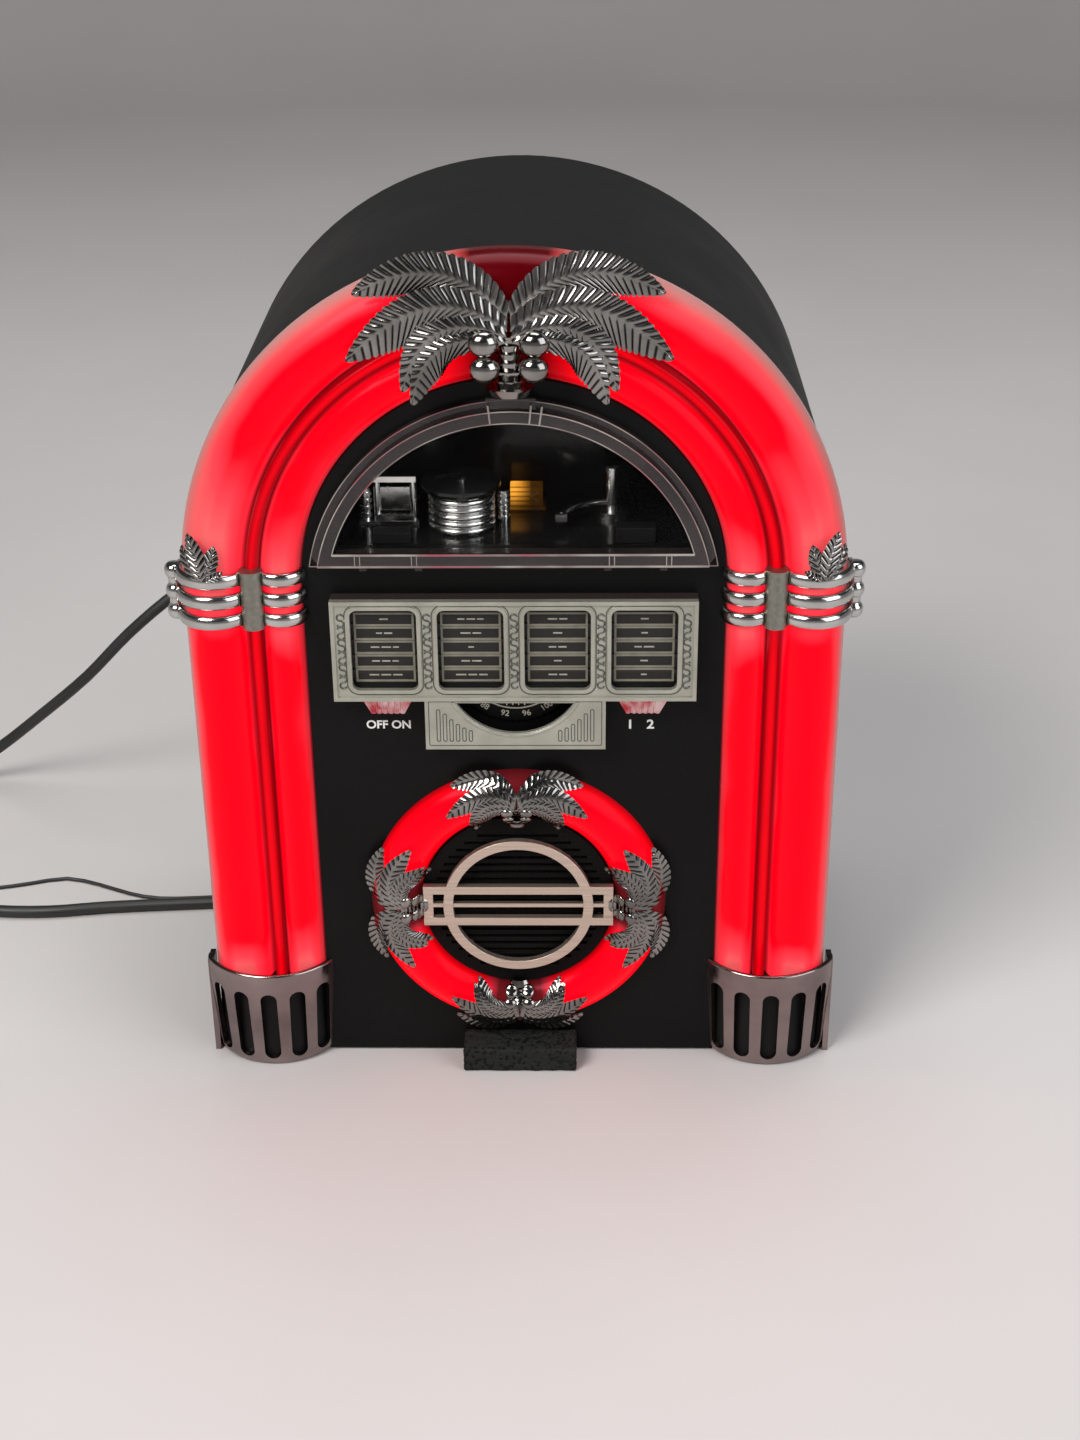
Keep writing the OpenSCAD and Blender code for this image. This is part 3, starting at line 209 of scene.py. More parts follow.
def litRed(name, s):
    mat, shader = startMaterial(name)
    x, y, z = axes(mat)
    over = calc(mat, "MAXIMUM", calc(mat, "SUBTRACT", z, s["axis"]), 0.0)
    share = spread(mat, fromAxis(mat, x, over), *s["walls"], 0, 1)
    # painted shade: the glow dips in the grooves beside the bead
    beadCreaseShade = greys(mat, share, s["across"])
    rimFrom = spread(mat, z, 0.18, 0.2, 0.86, 0.74)  # wider on the arch than on the columns
    outer = spread(mat, share, rimFrom, 0.99, 1, 0.3)
    rim = times(mat, outer, spread(mat, share, 0, 0.2, 0.8, 1))
    side = spread(mat, y, *s["sides"], 0.12, 1)
    lit = spread(mat, grain(mat, 22, 2), 0.32, 0.58, 0.82, 1.0)
    for part in (rim, side):
        lit = times(mat, lit, part)
    # the lamps stop short of the cups and clamps, more so in the outer lobe of the arch
    height = spread(mat, z, 0, s["top"], 0, 1)
    for middle, near, far, ends in s["lobes"]:
        lobe = spread(mat, calc(mat, "ABSOLUTE", calc(mat, "SUBTRACT", share, middle)), near, far, 1, 0)
        unlit = times(mat, lobe, greys(mat, height, ends))
        lit = times(mat, lit, calc(mat, "SUBTRACT", 1.0, unlit))
    # no lamp stands behind the crest
    beside = spread(mat, calc(mat, "ABSOLUTE", x), *s["crown"], 0.012, 1)
    crown = calc(mat, "MAXIMUM", beside, spread(mat, z, *s["crownFrom"], 0, 1))
    glow = times(mat, times(mat, lit, beadCreaseShade), crown)
    redGlow(mat, shader, calc(mat, "MAXIMUM", lit, spread(mat, crown, 0.2, 0.9, 0.8, 0)), glow, s["wall"])
    return mat


def ringRed(name, axis, inner, outer):
    # the ring is dimmer along its rims, and dark behind each palm
    mat, shader = startMaterial(name)
    x, y, z = axes(mat, (0, 0, axis))
    share = spread(mat, fromAxis(mat, x, z), inner, outer, 0, 1)
    rims = greys(mat, share, [(0, 0.15), (0.16, 1), (0.84, 1), (1, 0.2)])
    turn = calc(mat, "ABSOLUTE", calc(mat, "SINE", times(mat, calc(mat, "ARCTAN2", x, z), 2.0)))
    patch = spread(mat, grain(mat, 30, 2), 0.32, 0.58, 0.9, 1.0)
    lit = times(mat, spread(mat, turn, 0.4, 0.72, 0.06, 1), patch)
    redGlow(mat, shader, lit, times(mat, lit, rims), (0.06, 0.004, 0.006))
    return mat


def brightPlate(name, tone=(0.7, 0.7, 0.71), gloss=(0.07, 0.2), shadedGrooves=False, other=None, patch=60):
    mat, shader = startMaterial(name)
    cloud = grain(mat, patch, 5)
    feed(shader, "Metallic", 1)
    colour = shades(mat, cloud, [(0.36, other or tuple(c * 0.84 for c in tone)), (0.64, tone)])
    polish = spread(mat, grain(mat, 220, 4), 0.3, 0.7, *gloss)
    if shadedGrooves:
        ridge = addNode(mat, "Attribute", attribute_name="ridge").outputs["Fac"]
        # painted shade: the hollows between the leaflets' ribs are darkened and made rougher
        deep = spread(mat, ridge, 0.25, 0.78, 1, 0)
        colour = blendColours(mat, deep, colour, (0.02, 0.02, 0.022))
        polish = calc(mat, "ADD", polish, times(mat, deep, 0.3))
    feed(shader, "Base Color", colour)
    feed(shader, "Roughness", polish)
    addBump(mat, shader, grain(mat, 340, 3), 0.06, 0.0003)
    return mat


def clampPlate(name, inner, outer):
    # bright bands, and a satin bar between them
    mat, shader = startMaterial(name)
    cloud = grain(mat, 60, 5)
    feed(shader, "Metallic", 1)
    x = calc(mat, "ABSOLUTE", axes(mat)[0])
    bar = times(mat, spread(mat, x, inner / 1000 - 0.0002, inner / 1000, 0, 1),
                spread(mat, x, outer / 1000, outer / 1000 + 0.0002, 1, 0))
    bright = shades(mat, cloud, [(0.3, (0.47, 0.465, 0.45)), (0.7, (0.58, 0.575, 0.56))])
    satin = shades(mat, grain(mat, 700, 4), [(0.3, (0.225, 0.22, 0.19)), (0.7, (0.3, 0.295, 0.255))])
    feed(shader, "Base Color", blendColours(mat, bar, bright, satin))
    rough = calc(mat, "ADD", spread(mat, cloud, 0.3, 0.7, 0.1, 0.2), times(mat, bar, 0.3))
    feed(shader, "Roughness", rough)
    addBump(mat, shader, grain(mat, 900, 3), 0.1, 0.0002)
    return mat


def satinSilver(name, sidesFrom):
    # the front is satin silver, and the sides behind it are painted dark, a painted reflection of the black panel
    mat, shader = startMaterial(name)
    cloud = grain(mat, 90, 5)
    behind = spread(mat, axes(mat)[1], sidesFrom, sidesFrom + 0.0004, 0, 1)
    silver = shades(mat, cloud, [(0.3, (0.365, 0.36, 0.305)), (0.72, (0.485, 0.48, 0.415))])
    # painted reflection: the sides take a dark brown colour
    feed(shader, "Base Color", blendColours(mat, behind, silver, (0.035, 0.026, 0.024)))
    feed(shader, "Metallic", spread(mat, behind, 0, 1, 0.7, 0.3))
    feed(shader, "Roughness", spread(mat, grain(mat, 500, 3), 0.3, 0.7, 0.34, 0.5))
    addBump(mat, shader, grain(mat, 1400, 3), 0.2, 0.0002)
    return mat


def clearPane(name, centre, rimFrom, sillTo):
    # a clear pane inside a smoky rim
    mat, shader = startMaterial(name)
    haze = grain(mat, 38, 5)
    x, y, z = axes(mat)
    radius = fromAxis(mat, x, calc(mat, "SUBTRACT", z, centre))
    rim = calc(mat, "MAXIMUM", spread(mat, radius, rimFrom - 0.0003, rimFrom, 0, 1),
               spread(mat, z, sillTo + 0.0003, sillTo, 0, 1))
    glance = addNode(mat, "LayerWeight", {"Blend": 0.25}).outputs["Fresnel"]
    pane = calc(mat, "ADD", spread(mat, haze, 0.3, 0.75, 0.015, 0.04), times(mat, glance, 0.13))
    feed(shader, "Alpha", calc(mat, "MAXIMUM", times(mat, rim, 0.7), pane))
    smoke = shades(mat, haze, [(0.3, (0.022, 0.017, 0.017)), (0.75, (0.05, 0.04, 0.04))])
    feed(shader, "Base Color", blendColours(mat, rim, (0.006, 0.005, 0.005), smoke))
    rough = calc(mat, "SUBTRACT", spread(mat, haze, 0.35, 0.75, 0.36, 0.48), times(mat, rim, 0.3))
    feed(shader, "Roughness", rough)
    feed(shader, "Specular IOR Level", 0.6)
    return mat


def paintedHighlightEdge(name):
    # painted highlights along clear edges, pale in places and rosy with a painted reflection of the red tubes
    mat, shader = startMaterial(name)
    cloud = grain(mat, 26, 3)
    tones = [(0.38, (0.34, 0.06, 0.09)), (0.5, (0.2, 0.15, 0.145)), (0.62, (0.36, 0.33, 0.3))]
    feed(shader, "Base Color", shades(mat, cloud, tones))
    feed(shader, "Roughness", spread(mat, cloud, 0.3, 0.7, 0.12, 0.3))
    addBump(mat, shader, grain(mat, 400, 3), 0.1, 0.0002)
    return mat


def brushedTrim(name, colour=(0.6, 0.57, 0.54)):
    mat, shader = startMaterial(name)
    lines = grain(mat, 160, 5, 0.6, (0.06, 1, 9))
    feed(shader, "Metallic", 0.9)
    feed(shader, "Base Color", shades(mat, lines, [(0.3, tuple(c * 0.72 for c in colour)), (0.7, colour)]))
    feed(shader, "Roughness", spread(mat, lines, 0.3, 0.7, 0.28, 0.44))
    addBump(mat, shader, lines, 0.12, 0.0002)
    return mat


def plainFinish(name, colour, gloss=(0.4, 0.6), metal=0.0, size=70, change=0.25, bump=0.12):
    mat, shader = startMaterial(name)
    cloud = grain(mat, size, 5)
    feed(shader, "Metallic", metal)
    dark = tuple(c * (1 - change) for c in colour)
    feed(shader, "Base Color", shades(mat, cloud, [(0.32, dark), (0.68, colour)]))
    feed(shader, "Roughness", spread(mat, cloud, 0.3, 0.7, *gloss))
    addBump(mat, shader, grain(mat, size * 12, 3), bump, 0.0002)
    return mat


def groovedRecord(name, centre):
    mat, shader = startMaterial(name)
    where = objectPlace(mat, centre=centre)
    rings = addNode(mat, "TexWave", {"Vector": where, "Scale": 700, "Distortion": 0.3, "Detail": 1},
                    wave_type="RINGS", rings_direction="Z").outputs["Fac"]
    feed(shader, "Base Color", greys(mat, rings, [(0.2, 0.006), (0.8, 0.028)]))
    feed(shader, "Roughness", spread(mat, grain(mat, 90), 0.3, 0.7, 0.16, 0.3))
    addBump(mat, shader, rings, 0.3, 0.0002)
    return mat


def amberLens(name, corner):
    # lit behind its upper left corner, with level louvres
    mat, shader = startMaterial(name)
    x, y, z = axes(mat, corner)
    cloud = grain(mat, 300, 3)
    fade = times(mat, spread(mat, x, 0.0015, 0.0075, 1, 0.06), spread(mat, z, -0.0085, -0.002, 0.12, 1))
    louvre = calc(mat, "SINE", times(mat, z, 2 * math.pi / 0.0017))
    lit = times(mat, fade, spread(mat, calc(mat, "ADD", louvre, cloud), -0.6, 0.6, 0.35, 1))
    feed(shader, "Base Color", shades(mat, lit, [(0.1, (0.05, 0.022, 0.004)), (0.8, (0.8, 0.3, 0.03))]))
    feed(shader, "Emission Color", shades(mat, lit, [(0.1, (0.6, 0.22, 0.01)), (0.8, (1, 0.42, 0.04))]))
    feed(shader, "Emission Strength", spread(mat, lit, 0, 1, 0.01, 1.1))
    feed(shader, "Roughness", spread(mat, cloud, 0.3, 0.7, 0.15, 0.3))
    return mat


def rubberCord(name):
    mat, shader = startMaterial(name)
    cloud = grain(mat, 40, 5)
    feed(shader, "Base Color", shades(mat, cloud, [(0.3, (0.009,) * 3), (0.7, (0.02, 0.02, 0.021))]))
    feed(shader, "Roughness", spread(mat, cloud, 0.3, 0.7, 0.38, 0.56))
    addBump(mat, shader, grain(mat, 900, 3), 0.15, 0.0002)
    return mat


def plugBlack(name, prongsFrom):
    # a moulded body, and plated prongs past the given place
    mat, shader = startMaterial(name)
    cloud = grain(mat, 90, 5)
    prong = spread(mat, axes(mat)[0], prongsFrom - 0.0001, prongsFrom, 0, 1)
    body = shades(mat, cloud, [(0.3, (0.009,) * 3), (0.7, (0.018, 0.018, 0.019))])
    plated = shades(mat, cloud, [(0.3, (0.6, 0.56, 0.47)), (0.7, (0.74, 0.7, 0.6))])
    feed(shader, "Base Color", blendColours(mat, prong, body, plated))
    feed(shader, "Metallic", prong)
    rough = calc(mat, "SUBTRACT", spread(mat, cloud, 0.3, 0.7, 0.42, 0.55), times(mat, prong, 0.22))
    feed(shader, "Roughness", rough)
    addBump(mat, shader, grain(mat, 900, 3), 0.12, 0.0002)
    return mat


def roughBlock(name):
    mat, shader = startMaterial(name)
    cells = addNode(mat, "TexVoronoi", {"Vector": objectPlace(mat), "Scale": 620}).outputs["Distance"]
    cloud = grain(mat, 120, 6, 0.7)
    mixed = calc(mat, "ADD", cells, cloud)
    tones = [(0.35, (0.0018, 0.002, 0.002)), (0.8, (0.0065, 0.007, 0.0065)), (1, (0.017, 0.018, 0.017))]
    feed(shader, "Base Color", shades(mat, mixed, tones))
    feed(shader, "Roughness", spread(mat, cloud, 0.3, 0.7, 0.6, 0.85))
    feed(shader, "Specular IOR Level", 0.12)
    addBump(mat, shader, mixed, 0.6, 0.0006)
    return mat


def wovenBlack(name):
    mat, shader = startMaterial(name)
    where = objectPlace(mat)
    across = addNode(mat, "TexWave", {"Vector": where, "Scale": 330}, bands_direction="X").outputs["Fac"]
    along = addNode(mat, "TexWave", {"Vector": where, "Scale": 330}, bands_direction="Z").outputs["Fac"]
    weave = times(mat, across, along)
    feed(shader, "Base Color", greys(mat, weave, [(0.1, 0.0015), (0.9, 0.007)]))
    feed(shader, "Specular IOR Level", 0.12)
    feed(shader, "Roughness", spread(mat, weave, 0, 1, 0.75, 0.55))
    addBump(mat, shader, weave, 0.4, 0.0004)
    return mat


finishes = {
    "case": blackMoulding("caseBlack", 0.0075, (0.42, 0.58), 0.6, shine=0.13),
    "panel": blackMoulding("panelBlack", 0.0037, (0.34, 0.46), 0.25, shine=0.12),
    "red": litRed("litRed", tubeSet),
    "ring": ringRed("ringRed", 0.0671, 0.035, 0.0532),
    "palm": brightPlate("palmPlate", (0.33, 0.315, 0.3), (0.08, 0.18), True, (0.165, 0.16, 0.15), 45),
    "cup": brightPlate("cupPlate", (0.33, 0.26, 0.25), (0.1, 0.24), other=(0.2, 0.155, 0.155), patch=30),
    # the knobs' pink tone and red patches are a painted reflection of the red light round them
    "knob": brightPlate("knobPlateRedReflection", (0.7, 0.5, 0.5), (0.1, 0.22), other=(0.5, 0.05, 0.07), patch=210),
    "stagePlate": brightPlate("stagePlate", (0.88, 0.88, 0.86), (0.16, 0.3)),
    "clamp": clampPlate("clampPlate", 83.6, 92.0),
    "silver": satinSilver("satinSilver", (panelY - 5.4) * 0.001),
    "clear": clearPane("clearPane", 0.187, 0.0622, 0.2038),
    "edge": paintedHighlightEdge("paintedHighlightEdge"),
    # dark lines: the scrolls, and the painted shadow lines on the title plate
    "scrollAndShadowLine": plainFinish("scrollSilverAndShadowLine", (0.11, 0.112, 0.1), (0.35, 0.5), 0.5, size=300),
    "olive": plainFinish("oliveLine", (0.2, 0.19, 0.145), (0.35, 0.5), size=260),
    "dash": plainFinish("dashGrey", (0.34, 0.33, 0.28), (0.5, 0.65), size=400),
    "gloss": blackMoulding("glossBlack", 0.006, (0.12, 0.2), 0, 0),
    "trim": brushedTrim("brushedTrim", (0.74, 0.6, 0.5)),
    "rack": plainFinish("rackBlack", (0.008, 0.0078, 0.007), (0.4, 0.55)),
    "strip": plainFinish("stripCard", (0.006, 0.0052, 0.0035), (0.55, 0.7), size=160),
    "record": groovedRecord("recordBlack", tuple(at(-18, 21, 218))),
    "amber": amberLens("amberLens", tuple(at(-1.9, 38, 212.3))),
    "cord": rubberCord("cordBlack"),
    "plug": plugBlack("plugBlack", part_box("power_plug")[1].x - 0.0165),
    "block": roughBlock("roughBlock"),
    "cloth": wovenBlack("grilleBlack"),
    "steel": plainFinish("plainSteel", (0.5, 0.51, 0.52), (0.28, 0.42), 1.0),
    "screw": plainFinish("screwSteel", (0.2, 0.2, 0.205), (0.25, 0.4), 1.0, size=200),
    "brass": plainFinish("turnedBrass", (0.62, 0.48, 0.24), (0.25, 0.4), 1.0),
    "pale": plainFinish("paleMoulding", (0.72, 0.71, 0.66), (0.4, 0.55)),
    "board": plainFinish("resinBoard", (0.34, 0.22, 0.08), (0.5, 0.65)),
    "ferrite": plainFinish("ferriteGrey", (0.06, 0.055, 0.05), (0.45, 0.6)),
    "paper": plainFinish("conePaper", (0.05, 0.047, 0.04), (0.75, 0.9), size=240, bump=0.3),
    "cream": plainFinish("creamInk", (0.66, 0.62, 0.5), (0.45, 0.6), size=400, change=0.2, bump=0.05),
    "ink": plainFinish("whiteInk", (0.8, 0.8, 0.78), (0.45, 0.6), size=400, change=0.12, bump=0.05),
}
print("materials made:", len(finishes))


# pieces

def dress(ob, finish):
    ob.data.materials.clear()
    ob.data.materials.append(finishes[finish])


def smoothMesh(mesh, angle):
    for face in mesh.polygons:
        face.use_smooth = True
    mesh.set_sharp_from_angle(angle=math.radians(angle))


def addPiece(name, bm, finish, body="cabinet", swaps=(), angle=35, edge=None):
    mesh = bpy.data.meshes.new(name)
    bm.to_mesh(mesh)
    bm.free()
    smoothMesh(mesh, angle)
    ob = bpy.data.objects.new(name, mesh)
    scene.collection.objects.link(ob)
    dress(ob, finish)
    if edge:
        mod = ob.modifiers.new("edges", "BEVEL")
        mod.width = edge * 0.001
        mod.segments = 2
        mod.limit_method = "ANGLE"
        mod.angle_limit = math.radians(38)
        mod.harden_normals = True
    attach(ob, body)
    if swaps:
        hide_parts(*swaps)
    return ob


# cords: the routes of the solids, in millimetres from the panel's face

leadSet = {
    "diameter": 5.0, "turns": 6.25, "inner": 20.5, "step": 5.6, "centre": (10, 196), "start": 180, "tail": 25,
    "route": [(-80, 161, 140), (-80, 171, 140), (-81.3, 180.3, 139.4), (-86.8, 189.5, 137.3), (-96, 195.6, 133.5),
              (-109, 198.4, 127.5), (-129, 196.5, 117.5), (-153, 193, 104), (-176, 192, 85), (-198, 195, 62),
              (-221, 201, 41), (-244, 207, 21), (-261, 207.5, 9.6), (-277, 201, 4.4), (-288.5, 186, 2.9),
              (-292, 165, 2.55), (-288.5, 142, 2.5), (-276, 117, 2.5), (-252, 99, 2.5), (-222, 93.5, 2.5),
              (-199, 93, 2.5), (-178, 96, 2.5), (-158, 98, 2.5), (-132, 100, 2.5), (-105, 103, 2.5), (-80, 112, 2.5),
              (-62, 128, 2.5), (-48.5, 146, 2.5), (-38, 159.5, 2.5), (-30.8, 171.5, 2.5), (-28, 182, 2.5),
              (-28, 191, 2.5)],
}
wireSet = {
    "diameter": 1.6, "turns": 9.25, "inner": 4.5, "step": 2.1, "centre": (-252, 128), "start": -90, "tail": 0,
    "route": [(-72, 147, 28), (-72, 154, 27.4), (-72.5, 161, 24), (-73.5, 165.5, 18), (-75, 166.5, 11.5),
              (-76.8, 162.5, 5.6), (-78, 154, 2), (-78.2, 142, 0.95), (-79.5, 128, 0.8), (-88, 115, 0.8),
              (-105, 109, 0.8), (-133, 107, 0.8), (-155, 106, 0.8), (-169, 110, 0.8), (-183, 117, 0.8),
              (-198, 122, 0.8), (-213, 118, 0.8), (-228, 114, 0.8), (-245.6, 113.79, 0.8), (-250.4, 113.79, 0.8)],
}


def smoothRoute(points, step):
    # a smooth curve through the points, with a new point about every step
    out = []
    for i in range(len(points) - 1):
        a, b, c, d = (Vector(points[max(0, min(len(points) - 1, k))]) for k in (i - 1, i, i + 1, i + 2))
        count = max(1, round((c - b).length / step))
        for k in range(count):
            t = k / count
            out.append(0.5 * (2 * b + (c - a) * t + (2 * a - 5 * b + 4 * c - d) * t * t
                              + (3 * b - a - 3 * c + d) * t * t * t))
    return out + [Vector(points[-1])]


def coilRoute(s):
    # spirals in on the lower layer, climbs where it turns back, and spirals out on the upper one
    low = s["diameter"] / 2
    count = round(24 * s["turns"])
    out = []
    for k in range(count + 1):
        a = 360 * s["turns"] * k / count
        fromMid = a - 180 * s["turns"]
        radius = s["inner"] + s["step"] * abs(fromMid) / 360
        climb = max(0, min(1, fromMid / 180 + 0.5))
        turn = math.radians(s["start"] - a)
        out.append(Vector((s["centre"][0] + radius * math.cos(turn), s["centre"][1] + radius * math.sin(turn),
                           low + s["step"] * climb)))
    return out


def makeCord(name, s, swaps):
    points = smoothRoute(s["route"], 8) + coilRoute(s)
    if s["tail"]:
        points += [points[-1] + Vector((s["tail"] * k / 3, 0, 0)) for k in (1, 2, 3)]
    data = bpy.data.curves.new(name, "CURVE")
    data.dimensions = "3D"
    data.bevel_depth = s["diameter"] / 2000
    data.bevel_resolution = 4
    data.use_fill_caps = True
    spline = data.splines.new("POLY")
    spline.points.add(len(points) - 1)
    for p, q in zip(spline.points, points):
        p.co = (*at(*q), 1)
    spline.use_smooth = True
    ob = bpy.data.objects.new(name, data)
    scene.collection.objects.link(ob)
    dress(ob, "cord")
    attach(ob, "cabinet")
    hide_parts(*swaps)


makeCord("powerCord", leadSet, ("power_lead", "power_lead_coil"))
makeCord("aerialCord", wireSet, ("aerial_wire", "aerial_coil"))


# finishes of the solids that stay as they are

finishOf = {
    "case": "cabinet_shell rear_cover foot_sockets volume_wheel stage_blocks",
    "gloss": "stage",
    "panel": "front_panel tuning_dial",
    "red": "arch_tube left_column_tube right_column_tube",
    "ring": "speaker_ring",
    "clamp": "left_clamp right_clamp", "stagePlate": "record_stack record_gripper selector_post tone_arm",
    "knob": "band_switch light_switch",
    "cup": "left_foot_cup right_foot_cup",
    "clear": "window_cover", "trim": "grille_trim", "rack": "title_rack",
    "record": "top_record", "amber": "pilot_lamp", "cloth": "speaker_grille",
    "cord": "lead_gland aerial_grommet rear_feet", "plug": "power_plug", "screw": "cover_screws",
    "steel": "board_screws band_switch_body light_switch_body volume_control speaker_basket "
             "speaker_magnet transformer",
    "brass": "tuning_shaft", "board": "main_board", "ferrite": "ferrite_aerial", "paper": "speaker_cone",
    "pale": "tuning_capacitor arch_lamp_strip column_lamp_strips ring_lamp_board board_parts",
}
for finish, names in finishOf.items():
    for name in names.split():
        dress(nodes[name], finish)
print("solids dressed")


# rounded copies: a solid's own mesh, merged, with its sharp edges rounded

roundedSet = {
    "left_foot_cup": ("leftFootCup", 0.8), "right_foot_cup": ("rightFootCup", 0.8),
    "grille_trim": ("grilleTrim", 0.4), "rear_cover": ("rearCover", 0.9),
    "volume_wheel": ("volumeWheel", 0.25), "cover_screws": ("coverScrews", 0.15),
    "band_switch": ("bandKnob", 0.35), "light_switch": ("lightKnob", 0.35),
    "record_gripper": ("recordGripper", 0.3), "stage_blocks": ("stageBlocks", 0.4),
}
bodyOf = {"band_switch": "band_knob", "light_switch": "light_knob", "volume_wheel": "volume"}
finishOfNode = {name: finish for finish, names in finishOf.items() for name in names.split()}


def mergedCopy(node):
    bm = bmesh.new()
    bm.from_mesh(nodes[node].data)
    return cleaned(bm)


def cleaned(bm):
    bmesh.ops.remove_doubles(bm, verts=bm.verts, dist=3e-6)
    bmesh.ops.dissolve_limit(bm, angle_limit=math.radians(0.4), use_dissolve_boundaries=False,
                             verts=bm.verts, edges=bm.edges, delimit=set())
    return bm


for node, (name, edge) in roundedSet.items():
    body = bodyOf.get(node, "cabinet")
    addPiece(name, mergedCopy(node), finishOfNode[node], body, (node,), edge=edge)
print("rounded copies made:", len(roundedSet))


# clamps: each band is bulged to a half-round section, and the upright bar stays straight

clampSet = {"low": 177.4, "band": 5.0, "step": 7.4, "bulge": 1.5, "cuts": 9, "bar": (83.5, 92.1)}


def bulgedClamp(node, s):
    bm = mergedCopy(node)
    shares = [0.5 - 0.5 * math.cos(math.pi * k / (s["cuts"] + 1)) for k in range(1, s["cuts"] + 1)]
    bands = [(s["low"] + k * s["step"]) / 1000 for k in range(3)]
    wide = s["band"] / 1000
    for low in bands:
        for share in shares:
            bmesh.ops.bisect_plane(bm, geom=bm.verts[:] + bm.edges[:] + bm.faces[:], dist=1e-7,
                                   plane_co=(0, 0, low + share * wide), plane_no=(0, 0, 1))
    bm.normal_update()
    for v in bm.verts:
        if s["bar"][0] < abs(v.co.x) * 1000 < s["bar"][1]:
            continue
        out = Vector((v.normal.x, v.normal.y, 0))
        for low in bands:
            share = (v.co.z - low) / wide
            if -0.01 < share < 1.01 and out.length > 0.2:
                rise = math.sqrt(max(0, 1 - (2 * share - 1) ** 2)) - 0.45
                v.co += out.normalized() * rise * s["bulge"] / 1000
    return bm


for node, name in (("left_clamp", "leftClamp"), ("right_clamp", "rightClamp")):
    addPiece(name, bulgedClamp(node, clampSet), "clamp", swaps=(node,), angle=40)


# painted highlights: pale lines along the edges of the window's rim, round the arch and along the sill

windowSet = {
    "axis": 187.0, "face": -6.1, "thick": 0.2, "sill": 0.42,
    "lines": [(66.2, -6.1, 199.6), (62.3, -6.1, 203.7), (69.0, -3.0, 198.5)],  # radius, face and lower edge
    "clips": (-52.5, -50.8, -33.6, -31.9, 31.9, 33.6, 50.8, 52.5), "clipAt": 201.4, "clipHigh": 4.4,
    "tab": (-7.0, 6.2, 9.6), "tabAt": 65.5, "tabThick": 0.32, "tabHigh": 6.2,
}


def addRod(bm, place, radius, long):
    bmesh.ops.create_cone(bm, cap_ends=True, segments=8 if radius < 1 else 40, radius1=radius / 1000,
                          radius2=radius / 1000, depth=long / 1000, matrix=place)


def addTube(bm, place, radius, sides, **turn):
    # a circle at a place, spun about an axis
    ring = bmesh.ops.create_circle(bm, segments=sides, radius=radius / 1000, matrix=place)["verts"]
    edges = list({e for v in ring for e in v.link_edges})
    bmesh.ops.spin(bm, geom=ring + edges, dvec=(0, 0, 0), **turn)


def closedUp(bm, sides=0):
    # joins what meets, and fills open ends of the given number of sides
    bmesh.ops.remove_doubles(bm, verts=bm.verts, dist=1e-7)
    if sides:
        bmesh.ops.holes_fill(bm, edges=bm.edges[:], sides=sides)
    bmesh.ops.recalc_face_normals(bm, faces=bm.faces)
    return bm


def windowHighlightLines(s):
    bm = bmesh.new()
    for radius, y, low in s["lines"]:
        first = math.asin((low - s["axis"]) / radius)
        x = radius * math.cos(first)
        place = Matrix.Translation(at(x, y, low)) @ Matrix.Rotation(-first, 4, "Y")
        addTube(bm, place, s["thick"], 8, cent=at(0, y, s["axis"]), axis=(0, -1, 0),
                angle=math.pi - 2 * first, steps=64, use_merge=False)
        place = Matrix.Translation(at(0, y, low)) @ Matrix.Rotation(math.pi / 2, 4, "Y")
        addRod(bm, place, s["sill"] if y == s["face"] else s["thick"], 2 * x)
    for x in s["clips"]:  # clips along the sill, and the tab at the top
        addRod(bm, Matrix.Translation(at(x, s["face"], s["clipAt"])), s["thick"], s["clipHigh"])
    for x in s["tab"]:
        turn = math.asin(x / s["tabAt"])
        place = Matrix.Translation(at(x, s["face"], s["axis"] + s["tabAt"] * math.cos(turn)))
        addRod(bm, place @ Matrix.Rotation(turn, 4, "Y"), s["tabThick"], s["tabHigh"])
    return closedUp(bm, 8)


addPiece("windowHighlightLines", windowHighlightLines(windowSet), "edge")


# record stack: five records with rounded bright rims, on a spindle

stackSet = {"x": -18.04, "y": 21.0, "floor": 203.8, "records": 5, "radius": 11.5, "step": 2.54, "rim": 1.2,
            "hub": (3.0, 14.9), "pin": (1.5, 16.9)}


def recordStack(s):
    bm = bmesh.new()
    inner = s["radius"] - s["rim"]
    for k in range(s["records"]):
        z = s["floor"] + 0.1 + s["rim"] + k * s["step"]
        place = Matrix.Translation(at(s["x"] + inner, s["y"], z)) @ Matrix.Rotation(math.pi / 2, 4, "X")
        addTube(bm, place, s["rim"], 12, cent=at(s["x"], s["y"], z), axis=(0, 0, 1),
                angle=2 * math.pi, steps=48, use_merge=True)
    for radius, long in ((inner, s["records"] * s["step"]), s["hub"], s["pin"]):
        addRod(bm, Matrix.Translation(at(s["x"], s["y"], s["floor"] + long / 2)), radius, long)
    return closedUp(bm)


addPiece("recordStack", recordStack(stackSet), "stagePlate", swaps=("record_stack",))


# title cards: in each window five dark strips in olive frames, with plain dashes in place of words

stripSet = {"step": 29.3, "wide": 20.4, "pitch": 5.19, "high": 5.0, "line": 0.74, "middle": 169.5, "face": -4.5,
            "dash": 0.55, "space": 0.7}


def placedGrid(bm, x, y, z, wide, high):
    upright = Matrix.Translation(at(x, y, z)) @ Matrix.Rotation(math.pi / 2, 4, "X")
    size = Matrix.Diagonal((wide / 1000, high / 1000, 1, 1))
    return bmesh.ops.create_grid(bm, x_segments=1, y_segments=1, size=0.5, matrix=upright @ size)["verts"]


